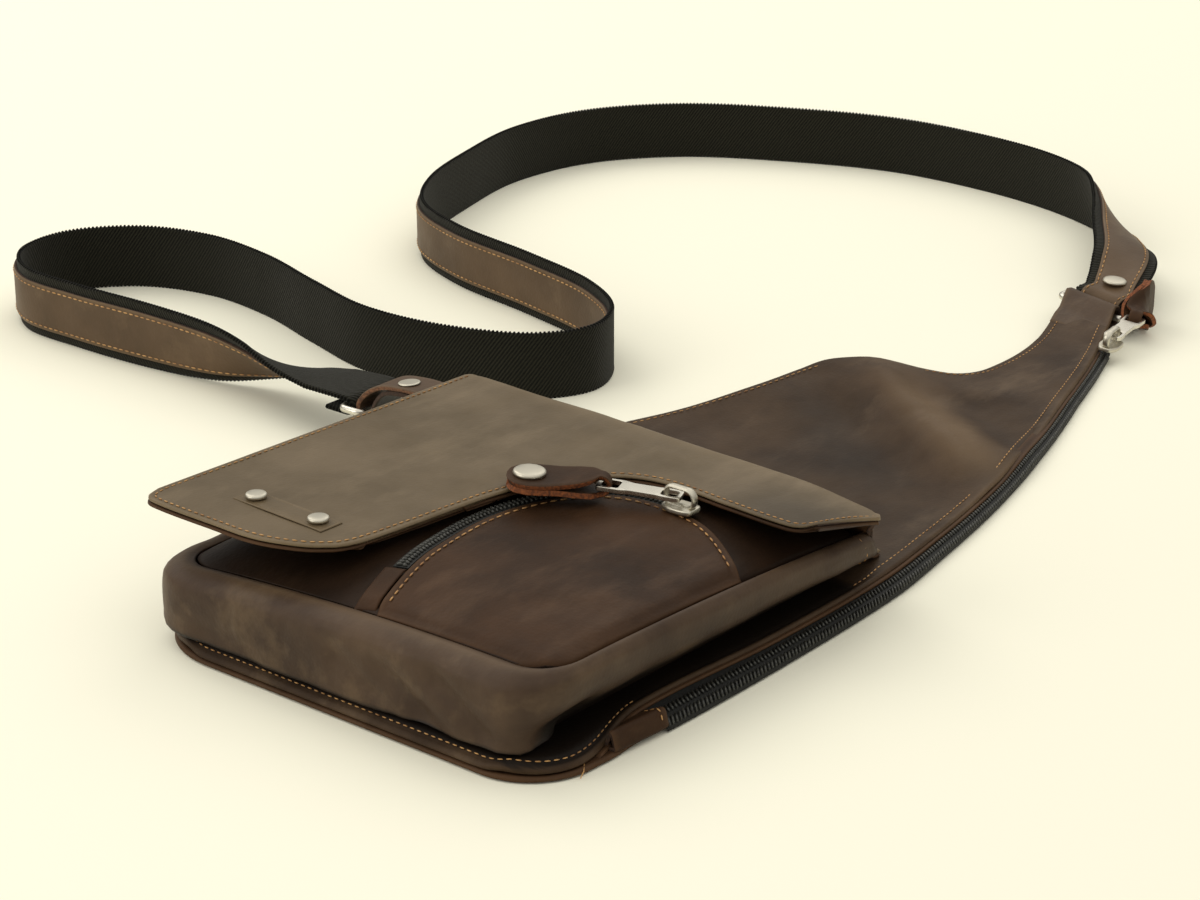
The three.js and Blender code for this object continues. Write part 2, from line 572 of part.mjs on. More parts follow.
function flapAt(x, row) {
  const { over, bend, fall, foot } = FLAP_ROWS[row];
  const turn = bend * Math.PI / 2;
  const down = (bend + fall + foot) / 3;
  const side = x < 0 ? flapLeft : flapRight;
  const px = x * mix(1, side(down), over ** 2);
  const y = mix(flapEdge(x), foldStart, over) + FOLD.radius * Math.sin(turn)
    + FOLD.fallRun * fall + FOLD.footLength * foot;
  const shoulder = flapTop(x, y) - FOLD.radius * (1 - Math.cos(turn));
  const rest = onPanel(px, y) + FLAP_THICKNESS;
  const heel = rest + FOLD.footRise * (1 - foot) ** 2;
  return new THREE.Vector3(px, y, mix(shoulder, heel, fall));
}
const flapColumns = FLAP.map(({ x }) => x);
const flapWide = [...flapColumns, -78, 47, 74].sort((a, b) => a - b);
place('flap', wall(flapAt, flapWide, FLAP_ROWS.map((row, i) => i), FLAP_THICKNESS), BROWN);

// Label patch on the flap, with a rivet at each end
const labelAt = (along, up) => {
  const [x, y] = [LABEL.x + LABEL.length * along, LABEL.y + LABEL.width * up];
  return new THREE.Vector3(x, y, flapTop(x, y) + SEAT + LABEL.thickness);
};
place('label_patch', wall(labelAt, spaced(-0.5, 0.5, 4), [-0.5, 0.5], LABEL.thickness), DARK_BROWN);

// A rivet cap: a flat dome, its foot on the local XY plane
function rivetCap({ radius, height }) {
  const domeHeight = (r) => height * Math.sqrt(1 - RIVET_FLATNESS * r ** 2);
  const dome = [1, 0.9, 0.68, 0.36].map((r) => [radius * r, domeHeight(r)]);
  const profile = [[0, 0], [radius, 0], ...dome, [0, height]];
  const points = profile.map(([r, z]) => new THREE.Vector2(r, z));
  return new THREE.LatheGeometry(points, 14).rotateX(Math.PI / 2);
}

function placeRivet(name, size, foot, normal = new THREE.Vector3(0, 0, 1), parent = bag) {
  const rivet = place(name, rivetCap(size), NICKEL, parent);
  rivet.position.copy(foot).addScaledVector(normal, SEAT);
  rivet.quaternion.setFromUnitVectors(new THREE.Vector3(0, 0, 1), normal);
}
for (const { name, x } of LABEL_RIVETS) {
  const top = flapTop(x, LABEL.y) + SEAT + LABEL.thickness;
  placeRivet(name, SMALL_RIVET, new THREE.Vector3(x, LABEL.y, top + RIVET_LIFT));
}

// Zip slider: a body with a bail on top, lying along its local X with its foot at Z 0
const bailCentre = SLIDER.height + SLIDER.bailHeight / 2 - SLIDER.bailBar / 2;

function sliderGeometry() {
  const body = plate(roundedRectangle(SLIDER.length, SLIDER.width, SLIDER.corner), SLIDER.height)
    .translate(0, 0, SLIDER.height / 2);
  const bail = roundedRectangle(SLIDER.bailLength, SLIDER.bailHeight, SLIDER.bailCorner);
  const gapLength = SLIDER.bailLength - 2 * SLIDER.bailBar;
  const gapHeight = SLIDER.bailHeight - 1.5 * SLIDER.bailBar;
  bail.holes.push(roundedRectangle(gapLength, gapHeight, SLIDER.gapCorner, new THREE.Path()));
  const arch = plate(bail, SLIDER.bailWidth).rotateX(Math.PI / 2).translate(0, 0, bailCentre);
  return toGeometry(toSolid(body).add(toSolid(arch)));
}

// Pull tab: its eye bar passes through the bail at the local origin, and its slotted end points along +X
const pullEnd = PULL.length - PULL.eyeBar / 2;
const endBarX = pullEnd - PULL.endBar / 2;

function pullGeometry() {
  const [eye, shaft, end] = [PULL.eyeWidth / 2, PULL.shaftWidth / 2, PULL.endWidth / 2];
  const start = -PULL.eyeBar / 2;
  const neck = start + PULL.eyeLength + 2 * PULL.eyeBar;
  const shoulder = pullEnd - PULL.slotLength - PULL.endBar;
  const side = [
    [start, eye - PULL.eyeCorner], [start + PULL.eyeCorner, eye],
    [neck - PULL.neckRun, eye], [neck, shaft],
    [shoulder - PULL.flareRun, shaft], [shoulder - PULL.endCorner, end],
    [pullEnd - PULL.endCorner, end], [pullEnd, end - PULL.endCorner],
  ];
  const outline = [...side, ...side.map(([x, y]) => [x, -y]).reverse()];
  const tab = new THREE.Shape(outline.map(([x, y]) => new THREE.Vector2(x, y)));
  const cut = (length, width, middle) => {
    const hole = roundedRectangle(length, width, PULL.holeCorner, new THREE.Path());
    tab.holes.push(new THREE.Path(hole.getPoints(4).map((p) => p.add(new THREE.Vector2(middle, 0)))));
  };
  cut(PULL.eyeLength, PULL.eyeGap, start + PULL.eyeBar + PULL.eyeLength / 2);
  cut(PULL.slotLength, PULL.slotWidth, pullEnd - PULL.endBar - PULL.slotLength / 2);
  return plate(tab, PULL.thickness);
}

// Leather puller: folded round the tab's end bar, swung sideways on it and twisted along its length
function pullerGeometry({ swing, twist }) {
  const lengthwise = new THREE.Vector3(1, 0, 0);
  const widthwise = new THREE.Vector3(0, 1, 0);
  const section = (x, z, normal, { width, turn }) => {
    const centre = new THREE.Vector3(x, 0, z);
    const points = bandSection(centre, widthwise, normal, width, PULLER_LAYER);
    return points.map((point) => point.applyAxisAngle(lengthwise, radians(twist) * turn));
  };
  const layer = (side) => PULLER.map((row) => section(
    row.along, side * row.half, new THREE.Vector3(0, 0, side), row,
  ));
  const bend = spaced(0, Math.PI, 6).slice(1, -1).map((angle) => {
    const normal = new THREE.Vector3(-Math.sin(angle), 0, Math.cos(angle));
    return section(normal.x * PULLER_LOOP, normal.z * PULLER_LOOP, normal, PULLER[0]);
  });
  const strip = sweep([...layer(1).reverse(), ...bend, ...layer(-1)]);
  return strip.rotateZ(radians(swing)).translate(endBarX, 0, 0);
}

// A slider and its hinged pull, standing at a point with the zip along its local X
function placePull(prefix, foot, zipYaw, pose) {
  const slider = place(`${prefix}_slider`, sliderGeometry(), NICKEL);
  slider.position.copy(foot);
  slider.rotation.z = radians(zipYaw);
  const pull = new THREE.Group();
  pull.position.set(foot.x, foot.y, foot.z + bailCentre);
  pull.rotation.order = 'ZYX';
  pull.rotation.set(0, radians(-pose.pitch), radians(pose.yaw));
  bag.add(pull);
  place(`${prefix}_pull_tab`, pullGeometry(), NICKEL, pull);
  place(`${prefix}_puller`, pullerGeometry(pose), BROWN, pull);
  return pull;
}
const frontFoot = onPocket(FRONT_PULL.x, FRONT_PULL.y, SEAT + zipRaise);
const frontPull = placePull('front', frontFoot, 0, FRONT_PULL);
const rivetRow = PULLER[PULLER_RIVET_ROW];
const upwards = new THREE.Vector3(0, 0, 1);
const rivetFoot = new THREE.Vector3(rivetRow.along, 0, rivetRow.half + PULLER_LAYER / 2);
rivetFoot.applyAxisAngle(upwards, radians(FRONT_PULL.swing)).add(new THREE.Vector3(endBarX, 0, 0));
placeRivet('front_puller_rivet', BIG_RIVET, rivetFoot, upwards, frontPull);

// Side zip: a band between the front panel's edge and the back panel's edge, with a raised coil
const zipSection = [
  { across: 0, raise: 0 },
  { across: 0.42, raise: 0 },
  { across: 0.5, raise: 1 },
  { across: 0.9, raise: 1 },
  { across: 1, raise: 0 },
];
function sideZipStation(y) {
  const inner = new THREE.Vector3(zipEdge(y) + SIDE_ZIP.inset, 0, 0);
  const outer = new THREE.Vector3(rightEdge(y) - SIDE_ZIP.outset, 0, 0);
  inner.z = frontTop(zipEdge(y), y) - SIDE_ZIP.thickness / 2;
  outer.z = LEATHER + SEAT + SIDE_ZIP.thickness;
  for (const end of [inner, outer]) {
    end.y = skewed(end.x, y);
  }
  const slope = outer.clone().sub(inner);
  const normal = new THREE.Vector3(-slope.z, 0, slope.x).normalize();
  const top = zipSection.map(({ across, raise }) => inner.clone()
    .lerp(outer, across).addScaledVector(normal, raise * SIDE_ZIP.coil));
  const under = [outer, inner].map((end) => end.clone().addScaledVector(normal, -SIDE_ZIP.thickness));
  return [...top, ...under];
}
const zipStations = PANEL_STATIONS.filter((y) => y > SIDE_ZIP.from && y < SIDE_ZIP.to);
const sideZip = sweep([SIDE_ZIP.from, ...zipStations, SIDE_ZIP.to].map(sideZipStation));
place('side_zip', sideZip, BLACK_TAPE);

// End tab: leather folded over the lower end of the side zip
function endTabStation(y) {
  const right = rightEdge(y) - SIDE_ZIP.outset;
  const left = Math.max(right - END_TAB.width, zipEdge(y) + END_TAB.inset);
  const z = LEATHER + SEAT;
  const top = z + END_TAB.thickness;
  const profile = [
    [left, z], [right, z], [right, top - END_TAB.rise],
    [right - END_TAB.round, top], [left, top + END_TAB.rise],
  ];
  return profile.map(([x, height]) => new THREE.Vector3(x, y, height));
}
place('zip_end_tab', sweep(spaced(END_TAB.from, END_TAB.to, 6).map(endTabStation)), BROWN);

// Side slider at the upper end of the zip, with its pull on the table beyond it
const sideFoot = new THREE.Vector3(SIDE_PULL.x, SIDE_PULL.y, SIDE_PULL.z);
placePull('side', sideFoot, SIDE_PULL.yaw, SIDE_PULL);

// Strap rings
function ringGeometry() {
  const bevel = RING.wire * RING.bevel;
  const frame = roundedRectangle(RING.length, RING.depth, RING.corner);
  const inside = [RING.length - 2 * RING.wire, RING.depth - 2 * RING.wire];
  frame.holes.push(roundedRectangle(inside[0], inside[1], RING.innerCorner, new THREE.Path()));
  const options = {
    depth: RING.wire - 2 * bevel, bevelEnabled: true, bevelThickness: bevel, bevelSize: bevel,
    bevelOffset: -bevel, bevelSegments: 2, curveSegments: 2,
  };
  return new THREE.ExtrudeGeometry(frame, options).translate(0, 0, bevel - RING.wire / 2);
}

// Bars of a ring: the directions along, across and up from it, and the middle of the bar on either side
function ringFrame({ x, y, z, yaw, tilt }) {
  const turn = new THREE.Euler(0, radians(tilt), radians(yaw), 'ZYX');
  const turned = (...axis) => new THREE.Vector3(...axis).applyEuler(turn);
  const along = turned(1, 0, 0);
  const across = turned(0, 1, 0);
  const up = turned(0, 0, 1);
  const centre = new THREE.Vector3(x, y, z);
  const barOffset = (RING.depth - RING.wire) / 2;
  const bar = (side) => centre.clone().addScaledVector(across, side * barOffset);
  return { turn, centre, along, across, up, bar };
}

const lowerFrame = ringFrame(LOWER_RING);
const upperFrame = ringFrame(UPPER_RING);
for (const [name, frame] of [['lower_ring', lowerFrame], ['upper_ring', upperFrame]]) {
  const mesh = place(name, ringGeometry(), NICKEL);
  mesh.position.copy(frame.centre);
  mesh.rotation.copy(frame.turn);
}

// Sections of a band that turns round the bar on one side of a ring: it comes in over the bar, goes round
// it inside the ring and comes back under it. lean shifts the legs along the bar as they leave it.
function turnRoundBar(frame, side, width, thickness, { over, under, lean }) {
  const { along, up } = frame;
  const bar = frame.bar(side);
  const away = frame.across.clone().multiplyScalar(side);
  const radius = RING.wire / 2 + SEAT + thickness / 2;
  const section = (centre, normal) => bandSection(centre, along, normal, width, thickness);
  const leg = (distance, face) => section(
    bar.clone().addScaledVector(away, distance).addScaledVector(along, -side * lean * distance)
      .addScaledVector(up, face * radius),
    up.clone().multiplyScalar(face),
  );
  const bend = spaced(0, Math.PI, 6).map((angle) => {
    const normal = up.clone().multiplyScalar(Math.cos(angle)).addScaledVector(away, -Math.sin(angle));
    return section(bar.clone().addScaledVector(normal, radius), normal);
  });
  return [...over.map((d) => leg(d, 1)), ...bend, ...under.map((d) => leg(d, -1))];
}

// Leather tab of the lower ring: from the front panel's left edge in an arch to the ring
const tabTurn = turnRoundBar(
  lowerFrame, -1, LOWER_TAB_SIZE.width, LOWER_TAB_SIZE.thickness, { over: [2], under: [3, 8], lean: 0 },
);
const tabFloor = onPanel(LOWER_TAB[0].x, LOWER_TAB[0].y) + LOWER_TAB_SIZE.thickness / 2;
const tabPoints = LOWER_TAB.map(({ x, y, z }) => new THREE.Vector3(x, y, z + tabFloor));
const tabSections = tabPoints.map((point, i) => {
  const next = tabPoints[Math.min(i + 1, tabPoints.length - 1)];
  const ahead = next.clone().sub(tabPoints[Math.max(i - 1, 0)]).normalize();
  const normal = lowerFrame.along.clone().cross(ahead).normalize();
  return bandSection(point, lowerFrame.along, normal, LOWER_TAB_SIZE.width, LOWER_TAB_SIZE.thickness);
});
place('lower_tab', sweep([...tabSections, ...tabTurn]), BROWN);
const tabTop = tabSections[LOWER_TAB_RIVET_ROW];
const tabRivetFoot = tabTop[2].clone().add(tabTop[3]).multiplyScalar(0.5);
const tabNormal = tabTop[2].clone().sub(tabTop[1]).normalize();
placeRivet('lower_tab_rivet', SMALL_RIVET, tabRivetFoot.addScaledVector(tabNormal, RIVET_LIFT), tabNormal);

// Loop of the upper ring: the top end of the leather turned round the ring's lower bar
const loopTurn = turnRoundBar(
  upperFrame, -1, TOP_LOOP.width, LEATHER, { over: TOP_LOOP.legs, under: [3], lean: TOP_LOOP.lean },
);
place('top_loop', sweep(loopTurn), BROWN);

// Strap: webbing from ring to ring, standing on its edge between its two twists
const strapPoints = STRAP.map(({ x, y, z }) => new THREE.Vector3(x, y, z));
const strapRoute = new THREE.CatmullRomCurve3(strapPoints, false, 'centripetal');
const strapRoll = column(STRAP.map(({ roll }, i) => ({ i, roll })), 'i', 'roll');

// Direction of the band's width and of its overlay side at a place along the route
function strapFrame(t) {
  const heading = strapRoute.getTangent(t);
  const left = new THREE.Vector3(-heading.y, heading.x, 0).normalize();
  const roll = radians(strapRoll(t * (STRAP.length - 1)));
  const up = new THREE.Vector3(0, 0, 1);
  const normal = left.clone().multiplyScalar(Math.cos(roll)).addScaledVector(up, Math.sin(roll));
  return { normal, across: normal.clone().cross(heading).normalize() };
}

function strapSections(fromStep, width, thickness, lift) {
  return spaced(fromStep, STRAP_STEPS, STRAP_STEPS - fromStep).map((step) => {
    const t = step / STRAP_STEPS;
    const { normal, across } = strapFrame(t);
    return bandSection(strapRoute.getPoint(t), across, normal, width, thickness, lift);
  });
}

const strapTurn = (frame) => turnRoundBar(
  frame, 1, WEBBING.width, WEBBING.thickness, { over: [STRAP_LEG], under: [4, WEBBING.loop], lean: 0 },
);
// At the lower ring the overlay side of the webbing is underneath
const upsideDown = ([a, b, c, d]) => [d, c, b, a];
const webbing = [
  ...strapTurn(lowerFrame).reverse().map(upsideDown),
  ...strapSections(0, WEBBING.width, WEBBING.thickness, 0),
  ...strapTurn(upperFrame),
];
place('strap_webbing', sweep(webbing), BLACK_WEBBING);

const overlayLift = WEBBING.thickness / 2 + SEAT + OVERLAY.thickness / 2;
const overlayEnd = upperFrame.bar(1).addScaledVector(upperFrame.across, STRAP_LEG);
overlayEnd.addScaledVector(upperFrame.up, RING.wire / 2 + SEAT + WEBBING.thickness / 2);
const overlay = [
  ...strapSections(OVERLAY_START_STEP, OVERLAY.width, OVERLAY.thickness, overlayLift),
  bandSection(overlayEnd, upperFrame.along, upperFrame.up, OVERLAY.width, OVERLAY.thickness, overlayLift),
];
place('strap_overlay', sweep(overlay), BROWN);
const strapTop = strapFrame(1).normal;
const strapRivetFoot = strapRoute.getPoint(1).addScaledVector(strapTop, overlayLift + OVERLAY.thickness / 2);
placeRivet('strap_rivet', SMALL_RIVET, strapRivetFoot.addScaledVector(strapTop, RIVET_LIFT), strapTop);

// Origin on the table under the middle of everything that lies on it
const box = new THREE.Box3().setFromObject(bag, true);
const middle = box.getCenter(new THREE.Vector3());
const part = new THREE.Group();
bag.position.set(-middle.x, -middle.y, -box.min.z);
part.add(bag);
part.updateMatrixWorld(true);

export default part;
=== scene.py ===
"""Looks of a crossbody bag of waxed brown leather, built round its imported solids.

Sizes are millimetres in the bag's own frame, X across, Y from the bottom edge to the narrow top
and Z up from the table, until row() turns a point into metres in the shared frame.
"""
import bisect
import json
import logging
import math
from dataclasses import dataclass, field
from enum import Enum
from typing import Callable, Sequence

import bmesh
import bpy
from mathutils import Matrix, Vector, kdtree, noise


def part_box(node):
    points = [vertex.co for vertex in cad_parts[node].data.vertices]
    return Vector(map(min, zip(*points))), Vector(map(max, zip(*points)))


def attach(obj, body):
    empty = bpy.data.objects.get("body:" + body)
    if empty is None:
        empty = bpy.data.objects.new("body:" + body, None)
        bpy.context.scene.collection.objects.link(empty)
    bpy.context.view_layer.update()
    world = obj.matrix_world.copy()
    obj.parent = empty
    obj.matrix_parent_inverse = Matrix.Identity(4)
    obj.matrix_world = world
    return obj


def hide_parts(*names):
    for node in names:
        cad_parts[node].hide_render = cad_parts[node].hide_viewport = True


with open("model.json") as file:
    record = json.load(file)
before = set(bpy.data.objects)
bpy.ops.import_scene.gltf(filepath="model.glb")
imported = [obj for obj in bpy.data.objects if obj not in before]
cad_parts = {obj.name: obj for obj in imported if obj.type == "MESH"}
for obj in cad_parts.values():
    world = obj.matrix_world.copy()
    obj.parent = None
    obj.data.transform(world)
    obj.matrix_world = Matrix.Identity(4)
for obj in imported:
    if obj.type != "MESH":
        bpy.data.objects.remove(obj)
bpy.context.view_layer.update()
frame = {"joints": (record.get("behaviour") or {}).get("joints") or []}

LOG = logging.getLogger("crossbody_bag")
MM = 0.001
Socket = bpy.types.NodeSocket

# Leather thicknesses and the gaps between pieces
LEATHER = 2.0
SKIVED = 0.6
SEAT = 0.3
POCKET_SEAT = 0.5

# Edges that turn by more than these angles are rounded on leather and on metal
LEATHER_CORNER = math.radians(52)
METAL_CORNER = 1.2
UP = Vector((0.0, 0.0, 1.0))

# A corner of the pocket front in the bag's frame, which places that frame in the shared one
POCKET_FRONT_CORNER = Vector((-87.5, 15.5, 0.0))


class Body(Enum):
    """The bodies that the pieces ride on."""

    BAG = "bag"
    FRONT_PULL = "front_pull"
    SIDE_PULL = "side_pull"


class Slot(Enum):
    """The material slots of the part's record."""

    LEATHER = "leather"
    DARK_LEATHER = "dark_leather"
    ZIP_TAPE = "zip_tape"
    WEBBING = "webbing"
    NICKEL = "nickel"


def bag_origin() -> Vector:
    """Finds the bag frame's origin in the shared frame, in millimetres."""
    low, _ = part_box("pocket_front")
    return Vector((low.x / MM, low.y / MM, 0.0)) - POCKET_FRONT_CORNER


ORIGIN = bag_origin()


def row(point: Vector) -> Vector:
    """Turns a point of the bag's frame into metres in the shared frame."""
    return (Vector(point) + ORIGIN) * MM


def clamp(t: float) -> float:
    """Keeps a share between 0 and 1."""
    return min(max(t, 0.0), 1.0)


def mix(a: float, b: float, t: float) -> float:
    """Blends from a to b."""
    return a + (b - a) * t


def ease(t: float) -> float:
    """Blends smoothly from 0 to 1."""
    t = clamp(t)
    return t * t * (3.0 - 2.0 * t)


def ramp(value: float, start: float, length: float) -> float:
    """Blends smoothly from 0 at a start to 1 a length further on."""
    return ease((value - start) / length)


def spaced(a: float, b: float, steps: int) -> list[float]:
    """Gives evenly spaced numbers from a to b."""
    return [mix(a, b, i / steps) for i in range(steps + 1)]


def bell(distance: float, width: float) -> float:
    """Gives a soft bump that is 1 at no distance and fades over the width."""
    return math.exp(-((distance / width) ** 2))


class Column:
    """A smooth curve through one column of a table."""

    def __init__(self, at: Sequence[float], values: Sequence[float]) -> None:
        """Keeps the column.

        Args:
            at: The place of each row, rising.
            values: The column's value in each row.
        """
        self.at = list(at)
        self.values = list(values)

    def slope(self, i: int) -> float:
        """Gives the curve's slope at a row."""
        a, b = max(i - 1, 0), min(i + 1, len(self.at) - 1)
        return (self.values[b] - self.values[a]) / (self.at[b] - self.at[a])

    def __call__(self, x: float) -> float:
        """Reads the curve at a place.

        Args:
            x: The place.

        Returns:
            The column's value there.
        """
        i = min(max(bisect.bisect_right(self.at, x) - 1, 0), len(self.at) - 2)
        span = self.at[i + 1] - self.at[i]
        t = clamp((x - self.at[i]) / span)
        start = (1 + 2 * t) * (1 - t) ** 2 * self.values[i] + t * (1 - t) ** 2 * span * self.slope(i)
        return start + t * t * (3 - 2 * t) * self.values[i + 1] + t * t * (t - 1) * span * self.slope(i + 1)


class Route:
    """A line through points that is read by its share of length."""

    def __init__(self, points: Sequence[Vector]) -> None:
        """Keeps the points and the length up to each of them.

        Args:
            points: The points, close together.
        """
        self.points = [Vector(p) for p in points]
        self.lengths = [0.0]
        for a, b in zip(self.points, self.points[1:]):
            self.lengths.append(self.lengths[-1] + (b - a).length)

    @property
    def length(self) -> float:
        """The line's whole length."""
        return self.lengths[-1]

    def at(self, share: float) -> Vector:
        """Gives the point at a share of the length.

        Args:
            share: The share, which is kept between 0 and 1.

        Returns:
            The point.
        """
        want = clamp(share) * self.length
        i = min(max(bisect.bisect_right(self.lengths, want) - 1, 0), len(self.points) - 2)
        span = max(self.lengths[i + 1] - self.lengths[i], 1e-9)
        return self.points[i].lerp(self.points[i + 1], (want - self.lengths[i]) / span)

    def tangent(self, share: float) -> Vector:
        """Gives the line's direction at a share of the length."""
        step = 0.4 / self.length
        return (self.at(share + step) - self.at(share - step)).normalized()

    def even(self, step: float) -> list[Vector]:
        """Gives points about one step apart."""
        count = max(2, round(self.length / step))
        return [self.at(i / count) for i in range(count + 1)]


def centripetal(points: Sequence[Vector], at: float) -> Vector:
    """Reads a smooth curve through points.

    Args:
        points: The points that the curve passes.
        at: The place, counted in points from the first.

    Returns:
        The point on the curve.
    """
    last = len(points) - 1
    i = min(int(at), last - 1)
    t = at - i
    p1, p2 = points[i], points[i + 1]
    p0 = points[i - 1] if i > 0 else 2 * points[0] - points[1]
    p3 = points[i + 2] if i + 2 <= last else 2 * points[last] - points[last - 1]
    d0, d1, d2 = (max((b - a).length, 1e-4) ** 0.5 for a, b in ((p0, p1), (p1, p2), (p2, p3)))
    m1 = ((p1 - p0) / d0 - (p2 - p0) / (d0 + d1) + (p2 - p1) / d1) * d1
    m2 = ((p2 - p1) / d1 - (p3 - p1) / (d1 + d2) + (p3 - p2) / d2) * d1
    return (
        p1 + t * m1 + t * t * (3 * (p2 - p1) - 2 * m1 - m2) + t ** 3 * (2 * (p1 - p2) + m1 + m2)
    )


def offset_line(points: Sequence[Vector], distance: float) -> list[Vector]:
    """Moves a flat line to its left by a distance.

    Args:
        points: The line's points.
        distance: How far it moves.

    Returns:
        The moved points.
    """
    moved = []
    for i, p in enumerate(points):
        ahead = points[min(i + 1, len(points) - 1)] - points[max(i - 1, 0)]
        moved.append(Vector(p) + Vector((-ahead.y, ahead.x, 0.0)).normalized() * distance)
    return moved


# Finishes


def linear(hex_colour: str) -> tuple[float, float, float, float]:
    """Turns an sRGB hex colour into linear RGBA."""
    parts = [int(hex_colour[i:i + 2], 16) / 255 for i in (1, 3, 5)]
    return (*(c / 12.92 if c <= 0.04045 else ((c + 0.055) / 1.055) ** 2.4 for c in parts), 1.0)


def per_mm(size: float) -> float:
    """Gives the texture scale whose features are about this many millimetres."""
    return 1.0 / (size * MM)


class Surface:
    """A new material's nodes: its shader and what feeds it."""

    def __init__(self, tree: bpy.types.NodeTree) -> None:
        """Keeps the node tree.

        Args:
            tree: The material's or world's node tree.
        """
        self.tree = tree
        self.shader: bpy.types.Node | None = None

    def add(self, kind: str, settings: dict | None = None, inputs: dict | None = None) -> bpy.types.Node:
        """Adds a node with its settings and links.

        Args:
            kind: The node's type.
            settings: Properties to set on the node.
            inputs: Values or output sockets for its inputs, by name or number.

        Returns:
            The new node.
        """
        node = self.tree.nodes.new(kind)
        for key, value in (settings or {}).items():
            setattr(node, key, value)
        self.plug(node, inputs or {})
        return node

    def plug(self, node: bpy.types.Node, inputs: dict) -> None:
        """Sets or links a node's inputs.

        Args:
            node: The node.
            inputs: Values or output sockets, by name or number.
        """
        for key, value in inputs.items():
            if isinstance(value, Socket):
                self.tree.links.new(value, node.inputs[key])
            else:
                node.inputs[key].default_value = value

    def feed(self, inputs: dict) -> None:
        """Sets or links the shader's inputs."""
        self.plug(self.shader, inputs)

    def place(self) -> Socket:
        """Gives the place on the object, in metres."""
        return self.add("ShaderNodeTexCoord").outputs["Object"]

    def noise(self, vector: Socket, size: float, detail: float, roughness: float = 0.5) -> Socket:
        """Adds soft noise with features of about a size in millimetres.

        Args:
            vector: The place to read it at.
            size: The size of its features.
            detail: The number of finer layers.
            roughness: How strong those are.

        Returns:
            The noise.
        """
        return self.add("ShaderNodeTexNoise", inputs={
            "Vector": vector, "Scale": per_mm(size), "Detail": detail, "Roughness": roughness,
        }).outputs["Fac"]

    def spread(self, value: Socket, low: float, high: float, to: tuple[float, float] = (0.0, 1.0)) -> Socket:
        """Stretches the part of a value between low and high.

        Args:
            value: The value.
            low: Where it starts to rise.
            high: Where it ends.
            to: The results at low and at high.

        Returns:
            The stretched value.
        """
        return self.add("ShaderNodeMapRange", inputs={
            "Value": value, "From Min": low, "From Max": high, "To Min": to[0], "To Max": to[1],
        }).outputs["Result"]

    def blend(self, share: Socket, first: str | Socket, second: str | Socket) -> Socket:
        """Blends two tones, each a socket or an sRGB hex colour."""
        a, b = (linear(tone) if isinstance(tone, str) else tone for tone in (first, second))
        return self.add("ShaderNodeMix", {"data_type": "RGBA"}, {0: share, 6: a, 7: b}).outputs[2]

    def total(self, value: Socket, factor: float, other: Socket) -> Socket:
        """Adds a value times a factor to another value."""
        inputs = {0: value, 1: factor, 2: other}
        return self.add("ShaderNodeMath", {"operation": "MULTIPLY_ADD"}, inputs).outputs["Value"]

    def wear_and_shade(self) -> tuple[Socket, Socket]:
        """Gives how rubbed, with painted highlight, and how darkened by painted shade the sheet is.

        Returns:
            The two shares. Each is below zero where the other counts.
        """
        rubbed_and_lit = self.add("ShaderNodeAttribute", {"attribute_name": "wear_and_shade"}).outputs["Fac"]
        shaded = self.add("ShaderNodeMath", {"operation": "MULTIPLY"}, {0: rubbed_and_lit, 1: -1.0})
        return rubbed_and_lit, shaded.outputs["Value"]

    def bump(self, height: Socket, strength: float, depth: float) -> None:
        """Feeds the shader a fine relief with a depth in millimetres.

        Args:
            height: The relief.
            strength: The share of it that shows.
            depth: Its depth.
        """
        node = self.add("ShaderNodeBump", inputs={
            "Strength": strength, "Distance": depth * MM, "Height": height})
        self.feed({"Normal": node.outputs["Normal"]})


@dataclass(frozen=True)
class Finish:
    """A finish that makes its material once."""

    name: str

    def material(self) -> bpy.types.Material:
        """Gives the finish's material, and makes it if need be.

        Returns:
            The material.
        """
        found = bpy.data.materials.get(self.name)
        if found is not None:
            return found
        made = bpy.data.materials.new(self.name)
        made.use_nodes = True
        made.node_tree.nodes.clear()
        surface = Surface(made.node_tree)
        surface.shader = surface.add("ShaderNodeBsdfPrincipled")
        surface.add("ShaderNodeOutputMaterial", inputs={"Surface": surface.shader.outputs["BSDF"]})
        self.dress(surface)
        return made

    def dress(self, surface: Surface) -> None:
        """Adds the finish's own nodes to the material's."""
        raise NotImplementedError


